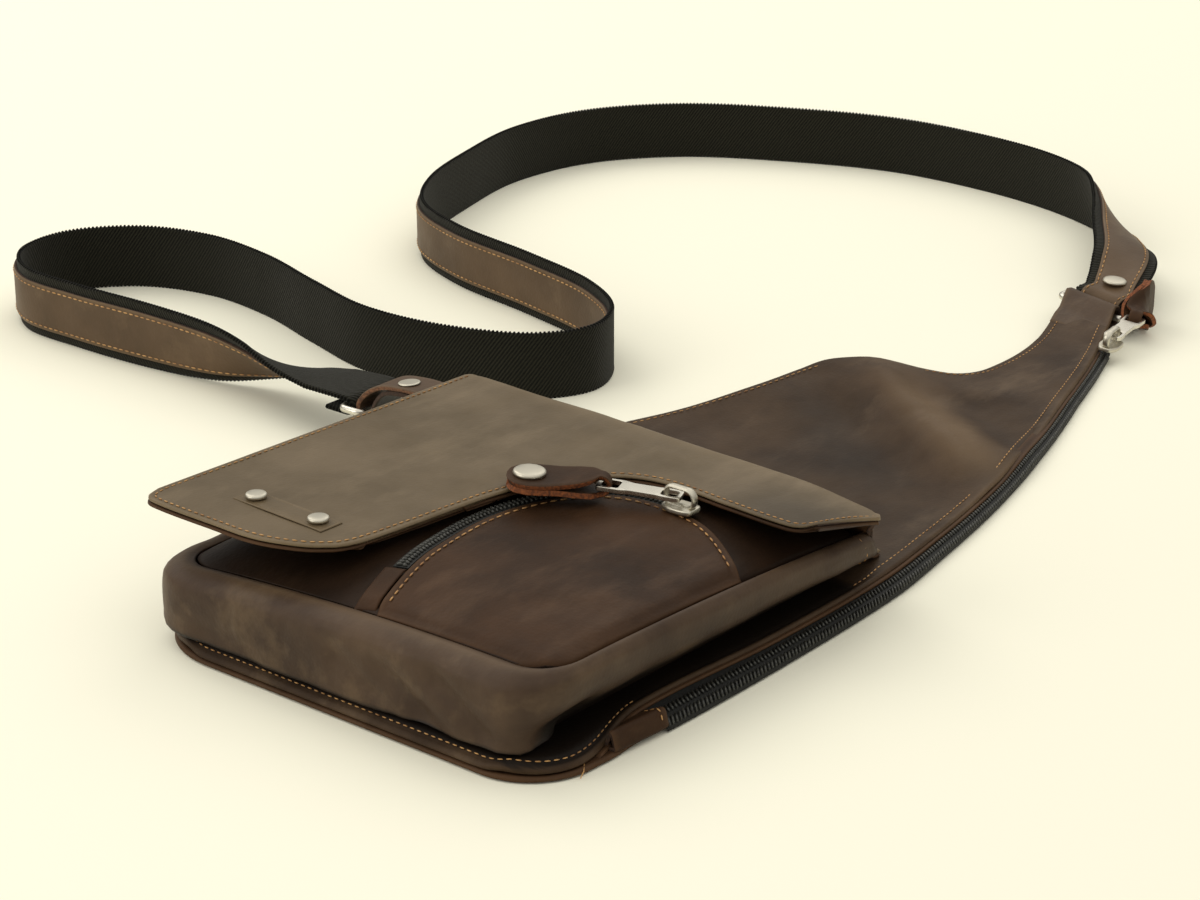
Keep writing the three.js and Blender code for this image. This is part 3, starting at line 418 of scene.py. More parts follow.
@dataclass(frozen=True)
class WaxedLeather(Finish):
    """Vegetable-tanned leather, waxed: soft clouds of tone, paler where rubbed and where a painted highlight
    lies, near black where painted shade lies in hollows and under other pieces.
    """

    body: str = "#564434"
    deep: str = "#3b2c21"
    # Paler tone of rubbed places, also used as painted highlight along fold ridges
    rubbed_and_lit: str = "#806a4f"
    # Near-black painted shade, shown where the sheet's attribute falls below zero
    painted_shade: str = "#120e0b"
    gloss: tuple[float, float] = (0.42, 0.58)
    shine: float = 0.2
    cloud_mm: float = 46.0
    smear_mm: float = 20.0
    pore_mm: float = 1.5
    crease_mm: float = 6.5

    def dress(self, surface: Surface) -> None:
        """Adds clouds, smears, rubbed places and painted highlights, painted shade, pores and fine creases.

        Args:
            surface: The material's nodes.
        """
        place = surface.place()
        clouds = surface.noise(place, self.cloud_mm, 4.0, 0.6)
        tone = surface.blend(surface.spread(clouds, 0.34, 0.64), self.deep, self.body)
        drawn = surface.add("ShaderNodeMapping", inputs={
            "Vector": place, "Rotation": (0.0, 0.0, 0.75), "Scale": (1.0, 0.34, 1.0)}).outputs["Vector"]
        smears = surface.noise(drawn, self.smear_mm, 5.0, 0.62)
        smeared = surface.blend(surface.spread(smears, 0.52, 0.80, (0.0, 0.42)), tone, self.rubbed_and_lit)
        # Above zero the attribute is rubbing with painted highlight, below zero it is painted shade
        rubbed_and_lit, shaded = surface.wear_and_shade()
        worn_and_shaded = surface.blend(shaded, surface.blend(rubbed_and_lit, smeared, self.rubbed_and_lit), self.painted_shade)
        satin = surface.spread(smears, 0.3, 0.75, (self.gloss[1], self.gloss[0]))
        surface.feed({"Base Color": worn_and_shaded, "Roughness": satin, "Specular IOR Level": self.shine})
        # The pores of calf are about 0.3 mm apart and are drawn coarser, so that they show
        pores = surface.add("ShaderNodeTexVoronoi", inputs={
            "Vector": place, "Scale": per_mm(self.pore_mm), "Randomness": 1.0}).outputs["Distance"]
        folds = surface.noise(drawn, self.crease_mm, 6.0, 0.66)
        surface.bump(surface.total(folds, 2.6, pores), 0.32, 0.2)


@dataclass(frozen=True)
class CutEdge(Finish):
    """Cut edge of leather: matt fibres of a redder tone than the face, near black where painted shade lies
    in hollows and under other pieces.
    """

    fibre: str = "#4b3528"
    shade: str = "#291c14"
    # Near-black painted shade, shown where the sheet's attribute falls below zero
    painted_shade: str = "#120e0b"
    fibre_mm: float = 1.1

    def dress(self, surface: Surface) -> None:
        """Adds the mottled fibres.

        Args:
            surface: The material's nodes.
        """
        fibres = surface.noise(surface.place(), self.fibre_mm, 3.0)
        tone = surface.blend(surface.spread(fibres, 0.32, 0.66), self.shade, self.fibre)
        _, shaded = surface.wear_and_shade()
        surface.feed({"Base Color": surface.blend(shaded, tone, self.painted_shade), "Roughness": 0.86})
        surface.bump(fibres, 0.6, 0.25)


@dataclass(frozen=True)
class SewingThread(Finish):
    """Bonded polyester thread: twisted plies with a soft shine, a little uneven in tone."""

    ply: str = "#c89a60"
    shade: str = "#94683c"
    patch_mm: float = 9.0

    def dress(self, surface: Surface) -> None:
        """Adds the uneven tone.

        Args:
            surface: The material's nodes.
        """
        patches = surface.noise(surface.place(), self.patch_mm, 2.0)
        tone = surface.blend(surface.spread(patches, 0.3, 0.62), self.shade, self.ply)
        surface.feed({"Base Color": tone, "Roughness": 0.55})


@dataclass(frozen=True)
class CottonWebbing(Finish):
    """Woven black cotton: matt twill ribs with a faint bloom of fibres."""

    yarn: str = "#2d2c23"
    gap: str = "#060605"
    rib_mm: float = 1.4

    def dress(self, surface: Surface) -> None:
        """Adds the twill, laid along the band's own UV map in metres.

        Args:
            surface: The material's nodes.
        """
        # Yarns of about 0.6 mm are drawn twice as coarse, so that they show
        cloth = surface.add("ShaderNodeUVMap", {"uv_map": "UVMap"}).outputs["UV"]
        slant = surface.add("ShaderNodeMapping", inputs={"Vector": cloth, "Rotation": (0.0, 0.0, 0.62)})
        ribs = surface.add("ShaderNodeTexWave", {"wave_type": "BANDS", "bands_direction": "Y"}, {
            "Vector": slant.outputs["Vector"], "Scale": 0.314 * per_mm(self.rib_mm), "Distortion": 1.2,
            "Detail": 2.0, "Detail Scale": 3.0}).outputs["Fac"]
        height = surface.total(surface.noise(cloth, 0.9, 3.0), 0.9, ribs)
        tone = surface.blend(surface.spread(height, 0.3, 1.5), self.gap, self.yarn)
        surface.feed({
            "Base Color": tone, "Roughness": 0.93, "Specular IOR Level": 0.1, "Sheen Weight": 0.08})
        surface.bump(height, 0.7, 0.3)


@dataclass(frozen=True)
class Nylon(Finish):
    """Black nylon of zip tape or coil: dull where woven, with a low gloss where drawn."""

    fibre: str = "#1b1c1a"
    shade: str = "#0b0b0a"
    gloss: float = 0.5
    thread_mm: float = 0.8
    relief: float = 0.4

    def dress(self, surface: Surface) -> None:
        """Adds the fine threads.

        Args:
            surface: The material's nodes.
        """
        threads = surface.noise(surface.place(), self.thread_mm, 2.0)
        tone = surface.blend(surface.spread(threads, 0.3, 0.7), self.shade, self.fibre)
        surface.feed({"Base Color": tone, "Roughness": self.gloss})
        surface.bump(threads, self.relief, 0.2)


@dataclass(frozen=True)
class NickelPlate(Finish):
    """Nickel plate over brass or zinc: a warm grey mirror, softened by tumbling and handling."""

    plate: str = "#d3cfc4"
    gloss: tuple[float, float] = (0.24, 0.32)
    smudge_mm: float = 5.0

    def dress(self, surface: Surface) -> None:
        """Adds smudges that dull the mirror in places."""
        dulled = surface.spread(surface.noise(surface.place(), self.smudge_mm, 4.0), 0.3, 0.7, self.gloss)
        surface.feed({"Base Color": linear(self.plate), "Metallic": 1.0, "Roughness": dulled})


@dataclass(frozen=True)
class StudioPaper(Finish):
    """Matt studio paper in warm cream."""

    tint: str = "#fdfbea"

    def dress(self, surface: Surface) -> None:
        """Sets the paper's tint."""
        surface.feed({"Base Color": linear(self.tint), "Roughness": 1.0, "Specular IOR Level": 0.0})


BROWN = WaxedLeather("waxed_brown_leather")
RUBBED = WaxedLeather("rubbed_brown_leather", body="#6b5c46", deep="#574933", rubbed_and_lit="#8b785c", shine=0.26)
WING = WaxedLeather("mid_brown_leather", body="#4c3b2b", deep="#35271b", rubbed_and_lit="#7c664d", shine=0.12)
DARK = WaxedLeather("waxed_dark_leather", body="#432e1e", deep="#2e1f14", rubbed_and_lit="#674d37", shine=0.1)
EDGE = CutEdge("dyed_leather_edge")
RAW_EDGE = CutEdge("raw_leather_edge", fibre="#8f5026", shade="#4c2814")
TAN_EDGE = CutEdge("tan_leather_edge", fibre="#80593f", shade="#4f3425")
THREAD = SewingThread("bonded_thread")
COTTON = CottonWebbing("black_cotton_webbing")
TAPE = Nylon("woven_nylon_tape", gloss=0.72)
# The coil's grey fibre is lighter than black nylon: painted highlight for its teeth
COIL = Nylon("drawn_nylon_coil", fibre="#4c4c46", gloss=0.36, relief=0.1)
NICKEL = NickelPlate("bright_nickel")
SATIN_NICKEL = NickelPlate("satin_nickel", plate="#c9c4b6", gloss=(0.34, 0.46))
PAPER = StudioPaper("studio_paper")


# Mesh helpers


def deliver(
    bm: bmesh.types.BMesh, name: str, finishes: Sequence[Finish], slot: Slot, nodes: Sequence[str] = (),
    body: Body = Body.BAG,
) -> bpy.types.Object:
    """Makes a finished mesh a piece of the part.

    Args:
        bm: The mesh, in metres in the shared frame. It is freed.
        name: The piece's name.
        finishes: Its finishes, in the order of its material numbers.
        slot: The record's slot that it belongs to; not used.
        nodes: The solids that it stands for.
        body: The body that it rides on.

    Returns:
        The piece.
    """
    for face in bm.faces:
        face.smooth = True
    mesh = bpy.data.meshes.new(name)
    bm.to_mesh(mesh)
    bm.free()
    for finish in finishes:
        mesh.materials.append(finish.material())
    piece = bpy.data.objects.new(name, mesh)
    bpy.context.scene.collection.objects.link(piece)
    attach(piece, body.value)
    if nodes:
        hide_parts(*nodes)
    LOG.info("%s: %d faces", name, len(mesh.polygons))
    return piece


def thicken(piece: bpy.types.Object, thickness: float, rounding: float = 0.0) -> None:
    """Gives a sheet its thickness behind its face and rounds its cut edges.

    Args:
        piece: The sheet.
        thickness: Its thickness in millimetres.
        rounding: The radius of its edges in millimetres, or 0 where its face is rolled over already.
    """
    solid = piece.modifiers.new("thickness", "SOLIDIFY")
    solid.thickness = thickness * MM
    solid.offset = -1.0
    solid.material_offset_rim = len(piece.data.materials) - 1
    if not rounding:
        return
    round_off = piece.modifiers.new("rounding", "BEVEL")
    round_off.width = rounding * MM
    round_off.segments = 2
    round_off.profile = 0.5
    round_off.limit_method = "ANGLE"
    round_off.angle_limit = LEATHER_CORNER
    round_off.material = -1


def deliver_leather(
    bm: bmesh.types.BMesh, node: str, finishes: Sequence[Finish], slot: Slot, thickness: float,
    rounding: float = 0.0, body: Body = Body.BAG,
) -> None:
    """Makes a sheet the leather of a solid.

    Args:
        bm: The sheet, in metres in the shared frame. It is freed.
        node: The solid that it stands for, which also names the piece.
        finishes: Its face and its cut edge.
        slot: The record's slot that it belongs to.
        thickness: Its thickness in millimetres.
        rounding: The radius of its edges in millimetres.
        body: The body that it rides on.
    """
    thicken(deliver(bm, f"{node}_leather", finishes, slot, [node], body), thickness, rounding)


def flatten(piece: bpy.types.Object) -> None:
    """Shades the flat faces of a bevelled metal piece as flat."""
    normals = piece.modifiers.new("normals", "WEIGHTED_NORMAL")
    normals.weight = 100


@dataclass(frozen=True)
class Crease:
    """A soft dent or fold along a line on a surface. A depth below zero raises it."""

    start: tuple[float, float, float]
    end: tuple[float, float, float]
    width: float
    depth: float

    def __call__(self, point: Vector) -> float:
        """Gives how far the crease moves a point along the surface's normal.

        Args:
            point: A point of the surface.

        Returns:
            The distance, below zero for a dent.
        """
        a, b = Vector(self.start), Vector(self.end)
        run = b - a
        t = clamp((point - a).dot(run) / run.length_squared)
        ends = ease(4 * t) * ease(4 * (1 - t))
        return -self.depth * (0.25 + 0.75 * ends) * bell((point - a - run * t).length, self.width)


@dataclass(frozen=True)
class Relief:
    """Low relief of a leather sheet: a stitched channel, a rolled edge, slow waves and creases."""

    channel: float = 0.0
    depth: float = 0.3
    roll: float = 0.5
    wave: float = 0.25
    wave_mm: float = 34.0
    creases: tuple[Crease, ...] = ()
    sewn: Callable[[Vector], float] = lambda point: 1.0

    def __call__(self, point: Vector, rim: float) -> float:
        """Gives the height of the relief.

        Args:
            point: A point on the sheet.
            rim: Its distance from the sheet's edge.

        Returns:
            How far the point moves along the sheet's normal.
        """
        inset = max(self.roll - rim, 0.0)
        height = math.sqrt(max(self.roll ** 2 - inset ** 2, 0.0)) - self.roll
        if self.channel:
            height -= self.depth * self.sewn(point) * bell(rim - self.channel, 0.9)
        inside = ease(rim / 8.0)
        height += inside * self.wave * noise.noise(point / self.wave_mm)
        height += inside * 0.4 * self.wave * noise.noise(point / (0.4 * self.wave_mm))
        return height + sum(crease(point) for crease in self.creases)


def rim_tree(bm: bmesh.types.BMesh) -> kdtree.KDTree:
    """Collects points along a sheet's edge, for measuring the distance to it.

    Args:
        bm: The sheet.

    Returns:
        The points, ready to be searched.
    """
    points = []
    for edge in bm.edges:
        if edge.is_boundary:
            a, b = (v.co for v in edge.verts)
            points += [a.lerp(b, t) for t in (0.0, 0.25, 0.5, 0.75)]
    tree = kdtree.KDTree(len(points))
    for i, point in enumerate(points):
        tree.insert(point, i)
    tree.balance()
    return tree


def lay_sheet(
    at: Callable[[float, float], Vector], us: Sequence[float], vs: Sequence[float],
    relief: Relief | None = None, wear_and_shade: Callable[[Vector, float], float] | None = None, drop: float = 0.0,
) -> bmesh.types.BMesh:
    """Lays a grid over a surface as an open sheet.

    Args:
        at: The surface, in the bag's frame.
        us: Its stations one way.
        vs: Its stations the other way, so that the face looks along u cross v.
        relief: The sheet's low relief.
        wear_and_shade: How rubbed a point at some distance from the edge is, with painted highlight, up to
            1, and how deep its painted shade is, down to -1.
        drop: How far the sheet lies under the surface.

    Returns:
        The sheet in the shared frame, with a UV map of its stations.
    """
    bm = bmesh.new()
    chart = bm.loops.layers.uv.new("UVMap")
    rub = bm.verts.layers.float.new("wear_and_shade")
    bmesh.ops.create_grid(bm, x_segments=len(us) - 1, y_segments=len(vs) - 1, size=0.5)
    station = {}
    for vert in bm.verts:
        i = round((vert.co.x + 0.5) * (len(us) - 1))
        j = round((vert.co.y + 0.5) * (len(vs) - 1))
        station[vert] = (us[i], vs[j])
    for vert, (u, v) in station.items():
        vert.co = at(u, v)
    for face in bm.faces:
        for loop in face.loops:
            u, v = station[loop.vert]
            loop[chart].uv = (u * MM, v * MM)
    bm.normal_update()
    edge = rim_tree(bm)
    moved = {}
    for vert in bm.verts:
        distance = edge.find(vert.co)[2]
        height = relief(vert.co, distance) if relief else 0.0
        vert[rub] = wear_and_shade(vert.co, distance) if wear_and_shade else 0.0
        moved[vert] = row(vert.co + vert.normal * (height - drop))
    for vert, place in moved.items():
        vert.co = place
    bm.normal_update()
    return bm


def edge_rub(strength: float) -> Callable[[Vector, float], float]:
    """Gives the rubbing of a sheet along its edge."""
    return lambda point, rim: strength * bell(rim, 1.6)


def bead(bm: bmesh.types.BMesh, place: Matrix, size: tuple[float, float, float]) -> None:
    """Adds a small ellipsoid.

    Args:
        bm: The mesh that takes it, in the shared frame.
        place: Its place and turn in that frame.
        size: Its half sizes in millimetres.
    """
    scale = Matrix.Diagonal((*(half * MM for half in size), 1.0))
    bmesh.ops.create_icosphere(bm, subdivisions=1, radius=1.0, matrix=place @ scale)


@dataclass(frozen=True)
class Stitching:
    """A row of lock stitches, each a short thread that dips at both ends."""

    pitch: float = 3.7
    length: float = 2.9
    width: float = 0.8
    height: float = 0.55

    def sew(self, bm: bmesh.types.BMesh, line: Sequence[Vector], normal: Callable[[Vector], Vector]) -> None:
        """Sews along a line.

        Args:
            bm: The mesh that takes the stitches, in the shared frame.
            line: The line on the surface, in the bag's frame.
            normal: The surface's normal at a point of the line.
        """
        route = Route(line)
        count = max(1, int(route.length / self.pitch))
        for i in range(count):
            share = (i + 0.5) / count
            point, ahead = route.at(share), route.tangent(share)
            side = normal(point).cross(ahead).normalized()
            turn = Matrix((ahead, side, ahead.cross(side))).transposed().to_4x4()
            size = (self.length / 2, self.width / 2, self.height / 2)
            bead(bm, Matrix.Translation(row(point)) @ turn, size)

    def build(self, name: str, line: Sequence[Vector], normal: Callable[[Vector], Vector]) -> None:
        """Builds a piece of one row of stitches, which are sewn as sew() does.

        Args:
            name: The piece's name.
            line: The line on the surface, in the bag's frame.
            normal: The surface's normal at a point of the line.
        """
        bm = bmesh.new()
        self.sew(bm, line, normal)
        deliver(bm, name, [THREAD], Slot.LEATHER)


def on_height(height: Callable[[float, float], float], lift: float = 0.1) -> tuple[Callable, Callable]:
    """Gives the two functions that lay a flat line on a surface of heights.

    Args:
        height: The surface's height at X and Y.
        lift: How far the line stands above it.

    Returns:
        A function that lifts a point onto the surface, and one that gives the surface's normal.
    """
    def lifted(point: Vector) -> Vector:
        """Puts a point on the surface."""
        return Vector((point.x, point.y, height(point.x, point.y) + lift))

    def normal(point: Vector) -> Vector:
        """Gives the surface's normal.

        Args:
            point: A point of the surface.

        Returns:
            The normal.
        """
        step = 0.5
        across = height(point.x + step, point.y) - height(point.x - step, point.y)
        up = height(point.x, point.y + step) - height(point.x, point.y - step)
        return Vector((-across, -up, 2 * step)).normalized()

    return lifted, normal


@dataclass
class Station:
    """One place along a band: its middle, the direction of its width, its face's normal and its width."""

    centre: Vector
    across: Vector
    normal: Vector
    width: float


def refine(stations: Sequence[Station], step: float) -> list[Station]:
    """Fills in a band between its stations on a smooth curve.

    Args:
        stations: The given stations.
        step: The wanted distance between stations.

    Returns:
        The stations with those between them.
    """
    centres = [s.centre for s in stations]
    made = []
    for i, (a, b) in enumerate(zip(stations, stations[1:])):
        count = max(1, round((b.centre - a.centre).length / step))
        for k in range(count):
            t = k / count
            made.append(Station(
                centripetal(centres, i + t), a.across.lerp(b.across, t).normalized(),
                a.normal.lerp(b.normal, t).normalized(), mix(a.width, b.width, t)))
    return [*made, stations[-1]]


def lay_band(
    stations: Sequence[Station], columns: int, thickness: float, relief: Relief | None = None,
    wear_and_shade: Callable[[Vector, float], float] | None = None,
) -> bmesh.types.BMesh:
    """Lays an open sheet along a band's outer face.

    Args:
        stations: The band's stations, along its middle.
        columns: The number of faces across it.
        thickness: The band's thickness, half of which the face stands out by.
        relief: The band's low relief.
        wear_and_shade: How rubbed a point at some distance from the edge is, with painted highlight above
            zero and painted shade below zero.

    Returns:
        The sheet, whose UV map is in metres across and along the band.
    """
    run = Route([s.centre for s in stations]).lengths
    widest = max(s.width for s in stations)
    index = {round(length, 6): s for length, s in zip(run, stations)}

    def at(across: float, along: float) -> Vector:
        """Gives a point of the band's outer face."""
        s = index[round(along, 6)]
        return s.centre + s.across * (across * s.width / widest) + s.normal * (thickness / 2)

    first, second = stations[0], stations[1]
    turned = first.across.cross(second.centre - first.centre).dot(first.normal) > 0
    half = -widest / 2 if turned else widest / 2
    return lay_sheet(at, spaced(half, -half, columns), run, relief, wear_and_shade)


def rounded(corners: Sequence[tuple[float, float]], radius: float, steps: int = 4) -> list[Vector]:
    """Rounds the corners of a flat outline.

    Args:
        corners: The outline's corners in order.
        radius: The distance from each corner at which its rounding starts.
        steps: The number of edges in each rounding.

    Returns:
        The rounded outline.
    """
    points = [Vector((x, y, 0.0)) for x, y in corners]
    made = []
    for i, p in enumerate(points):
        before, after = points[i - 1], points[(i + 1) % len(points)]
        start = p + (before - p).normalized() * min(radius, 0.48 * (before - p).length)
        end = p + (after - p).normalized() * min(radius, 0.48 * (after - p).length)
        for k in range(steps + 1):
            t = k / steps
            made.append(start.lerp(p, t).lerp(p.lerp(end, t), t))
    return made


def rectangle(length: float, width: float) -> list[tuple[float, float]]:
    """Gives the corners of a rectangle round the origin."""
    x, y = length / 2, width / 2
    return [(-x, -y), (x, -y), (x, y), (-x, y)]


def cut_plate(
    bm: bmesh.types.BMesh, outline: Sequence[Vector], holes: Sequence[Sequence[Vector]], thickness: float,
    edge: float, segments: int = 2,
) -> None:
    """Adds a flat plate with holes and bevelled edges, standing on the XY plane.

    Args:
        bm: The mesh that takes the plate.
        outline: The plate's outline.
        holes: The outlines of its holes.
        thickness: The plate's thickness.
        edge: The size of its bevel.
        segments: The number of faces across the bevel.
    """
    edges = []
    for loop in (outline, *holes):
        verts = [bm.verts.new(p) for p in loop]
        edges += [bm.edges.new((a, b)) for a, b in zip(verts, verts[1:] + verts[:1])]
    faces = [g for g in bmesh.ops.triangle_fill(bm, use_beauty=True, use_dissolve=False, edges=edges)["geom"]
             if isinstance(g, bmesh.types.BMFace)]
    raised = bmesh.ops.extrude_face_region(bm, geom=faces)["geom"]
    lifted = [g for g in raised if isinstance(g, bmesh.types.BMVert)]
    bmesh.ops.translate(bm, verts=lifted, vec=(0.0, 0.0, thickness))
    bmesh.ops.recalc_face_normals(bm, faces=bm.faces)
    rims = [e for e in bm.edges if e.is_manifold and e.calc_face_angle() > METAL_CORNER]
    bmesh.ops.bevel(bm, geom=rims, offset=edge, segments=segments, profile=0.5, affect="EDGES", material=-1)


def wire_frame(
    length: float, depth: float, corner: float, wire: float, sides: int = 14
) -> bmesh.types.BMesh:
    """Bends a round wire into a rounded rectangle in the XY plane.

    Args:
        length: The frame's outer length along X.
        depth: Its outer depth along Y.
        corner: The bend's radius at the middle of the wire.
        wire: The wire's diameter.
        sides: The number of faces round the wire.

    Returns:
        The closed frame.
    """
    x, y = (length - wire) / 2, (depth - wire) / 2
    bm = bmesh.new()
    start = Matrix.Translation((corner - x, -y, 0.0)) @ Matrix.Rotation(math.pi / 2, 4, "Y")
    ring = bmesh.ops.create_circle(bm, segments=sides, radius=wire / 2, matrix=start)["verts"]
    front = list({e for v in ring for e in v.link_edges})
    bend_x, bend_y = x - corner, y - corner
    corners = [(bend_x, -bend_y), (bend_x, bend_y), (-bend_x, bend_y), (-bend_x, -bend_y)]
    runs = [(2 * bend_x, 0.0), (0.0, 2 * bend_y), (-2 * bend_x, 0.0), (0.0, -2 * bend_y)]
    for (cx, cy), (dx, dy) in zip(corners, runs):
        made = bmesh.ops.extrude_edge_only(bm, edges=front)["geom"]
        verts = [g for g in made if isinstance(g, bmesh.types.BMVert)]
        bmesh.ops.translate(bm, verts=verts, vec=(dx, dy, 0.0))
        front = [g for g in made if isinstance(g, bmesh.types.BMEdge) and all(v in verts for v in g.verts)]
        turned = bmesh.ops.spin(
            bm, geom=front, cent=(cx, cy, 0.0), axis=(0.0, 0.0, 1.0), angle=math.pi / 2, steps=6)
        front = [g for g in turned["geom_last"] if isinstance(g, bmesh.types.BMEdge)]
    bmesh.ops.remove_doubles(bm, verts=bm.verts, dist=0.01)
    bmesh.ops.recalc_face_normals(bm, faces=bm.faces)
    return bm


def set_down(bm: bmesh.types.BMesh, place: Matrix) -> None:
    """Moves a mesh made in millimetres to its place in the shared frame.

    Args:
        bm: The mesh.
        place: Its place in the bag's frame, in millimetres.
    """
    bmesh.ops.transform(
        bm, matrix=Matrix.Scale(MM, 4) @ Matrix.Translation(ORIGIN) @ place, verts=bm.verts)


def turn_by(degrees: float, axis: str) -> Matrix:
    """Gives a turn about an axis."""
    return Matrix.Rotation(math.radians(degrees), 4, axis)


def facing(point: Vector, normal: Vector) -> Matrix:
    """Gives the placement of a piece that stands on a point with its Z along a normal."""
    return Matrix.Translation(point) @ normal.to_track_quat("Z", "Y").to_matrix().to_4x4()


def build_rivet(node: str, size: tuple[float, float], place: Matrix, body: Body = Body.BAG) -> None:
    """Builds a flat-domed rivet cap.

    Args:
        node: The solid that it stands for.
        size: The cap's radius and height.
        place: Its place in the bag's frame, where it stands on its own XY plane.
        body: The body that it rides on.
    """
    radius, height = size
    bm = bmesh.new()
    # Share of the radius, share of the height: a round rim, then an almost flat top
    profile = (
        (0, 0), (0.95, 0), (1, 0.2), (1, 0.45), (0.975, 0.66), (0.92, 0.82), (0.82, 0.91), (0.6, 0.97),
        (0, 1))
    verts = [bm.verts.new((r * radius, 0.0, z * height)) for r, z in profile]
    edges = [bm.edges.new(pair) for pair in zip(verts, verts[1:])]
    bmesh.ops.spin(
        bm, geom=[*verts, *edges], cent=(0.0, 0.0, 0.0), axis=(0.0, 0.0, 1.0), angle=2 * math.pi, steps=28,
        use_merge=True)
    bmesh.ops.remove_doubles(bm, verts=bm.verts, dist=0.001)
    bmesh.ops.recalc_face_normals(bm, faces=bm.faces)
    set_down(bm, place)
    deliver(bm, f"{node}_cap", [SATIN_NICKEL], Slot.NICKEL, [node], body)


# Sub-assemblies


@dataclass
class Panels:
    """The flat compartment: a back panel and a front panel, sewn together round the left and the bottom."""

    # y, left edge, right edge, front panel's edge at the zip, lift of the left edge, puff of the front
    table: tuple[tuple[float, ...], ...] = (
        (0, -100, 96, 95, 0, 2.7), (30, -100, 96.5, 94, 0, 2.7), (65, -100, 99, 86, 0, 2.7),
        (135, -100, 99, 89, 0, 2.7), (205, -99, 96, 88, 0, 2.7), (250, -94, 89, 82, 0, 2.4),
        (290, -79, 81.5, 75, 2, 2), (330, -63, 72, 66, 7, 1.6), (365, -53, 62, 56, 10, 1.4),
        (380, -41, 57.5, 51.5, 9, 1.3), (392, -29, 53.6, 47.6, 5.5, 1.2), (406, -14, 49, 43, 2, 1.2),
        (425, -8, 42.5, 37, 0, 1.2), (460, -9, 32, 26.5, 0, 1.2), (506, -21, 16, 10, 0, 1),
    )
    corner_left: float = 40.0
    corner_right: float = 26.0
    corner_sewn: tuple[float, float] = (30.0, 30.0)
    edge_slope: float = 6.0
    wing_slope: float = 1.8
    lift_reach: float = 60.0
    zip_margin: float = 0.5
    tip: float = 506.0
    tip_rise: float = 3.6
    # Start and length, up the bag, of each gradual change
    wing_from: tuple[float, float] = (205.0, 30.0)
    rise_from: tuple[float, float] = (476.0, 34.0)
    seam_shift: tuple[float, float] = (196.0, 16.0)
    zip_tuck: tuple[float, float] = (34.0, 20.0)
    pocket_end: tuple[float, float] = (188.0, 8.0)
    # The painted shade behind the flap fades over this stretch
    flap_shade: tuple[float, float] = (210.0, 100.0)
    skew: tuple[float, float, float] = (-0.18, 430.0, -8.0)
    ridge_from: tuple[float, float] = (-48.0, 368.0)
    ridge_to: tuple[float, float] = (70.0, 318.0)
    ridge: tuple[float, float, float] = (26.0, 6.0, 0.3)
    seam: float = 2.9
    wing_seam: float = 4.4
    columns: int = 62
    edge_steps: tuple[float, ...] = (0, 0.12, 0.4, 0.8, 1.3, 1.9, 2.4, 2.9, 3.5, 4.6, 6.4)
    roll: float = 1.5
    layer: float = 1.7
    under_zip: float = 2.4
    # The stretch of the right edge where the seam is tucked away under the pocket
    hidden_seam: tuple[float, float] = (66.0, 192.0)
    # How far the facing beside the zip shows past the front panel and lies under its face
    facing: tuple[float, float] = (1.5, 1.4)
    # Painted highlight along the fold's ridge and painted shade in its valleys, partly the leather's own
    # paler and darker tone, and the creases of the leather itself
    folds: tuple[Crease, ...] = (
        Crease((-20, 376, 13), (74, 308, 12), 16.0, -0.6), Crease((-48, 342, 13), (46, 274, 12), 22.0, 0.5),
        Crease((0, 398, 10), (70, 346, 10), 12.0, 0.2))
    creases: tuple[Crease, ...] = (
        Crease((-34, 376, 13), (14, 338, 15), 10.0, -4.2), Crease((10, 341, 15), (68, 303, 12), 10.0, -4.0),
        Crease((-44, 352, 13), (52, 286, 11), 13.0, 4.4), Crease((2, 394, 10), (66, 346, 10), 14.0, 3.4),
        Crease((-70, 300, 8), (30, 252, 10), 20.0, 1.4), Crease((-58, 352, 14), (-20, 398, 9), 9.0, -1.2))
    loose_end: tuple[tuple[float, float, float], ...] = (
        (91.8, 34, 3.6), (93.2, 29.5, 2.6), (93.4, 25.6, 2.2), (96.2, 22, 1.4), (97.6, 18.6, 0.6))

    def __post_init__(self) -> None:
        """Reads the outline's columns."""
        ys, *columns = zip(*self.table)
        self.left, self.right, self.zip, self.raise_, self.puff = (Column(ys, c) for c in columns)

    @staticmethod
    def corner(y: float, radius: float) -> float:
        """Gives how far a rounded bottom corner draws in the edge."""
        return radius - math.sqrt(radius ** 2 - (radius - y) ** 2) if y < radius else 0.0

    def left_edge(self, y: float) -> float:
        """Gives the panels' left edge."""
        return self.left(y) + self.corner(y, self.corner_left)

    def right_edge(self, y: float) -> float:
        """Gives the back panel's right edge."""
        return self.right(y) - self.corner(y, self.corner_right)

    def zip_edge(self, y: float) -> float:
        """Gives the front panel's right edge, beside the zip."""
        return min(self.zip(y) - self.corner(y, self.corner_right), self.right_edge(y) - self.zip_margin)

    def left_lift(self, x: float, y: float) -> float:
        """Gives the height that the left edge is lifted off the table, faded across the panel."""
        return max(self.raise_(y), 0.0) * (1 - ramp(x, self.left_edge(y), self.lift_reach))

    def back_top(self, x: float, y: float) -> float:
        """Gives the height of the back panel's upper face."""
        return LEATHER + self.left_lift(x, y)

    def front_top(self, x: float, y: float) -> float:
        """Gives the height of the front panel's upper face.

        Args:
            x: The place across the bag.
            y: The place up the bag.

        Returns:
            The height.
        """
        sewn = min(x - self.left_edge(y), y)
        corner_sewn = 1 - ramp(y, *self.corner_sewn)
        to_right = mix(self.edge_slope, self.zip_edge(y) - x, corner_sewn)
        inside = ease(min(sewn, to_right) / mix(self.edge_slope, self.wing_slope, ramp(y, *self.wing_from)))
        flange = LEATHER + SEAT + LEATHER
        turned_up = self.tip_rise * ramp(y, *self.rise_from)
        return flange + self.left_lift(x, y) + turned_up + (self.puff(y) + self.ridge_height(x, y)) * inside

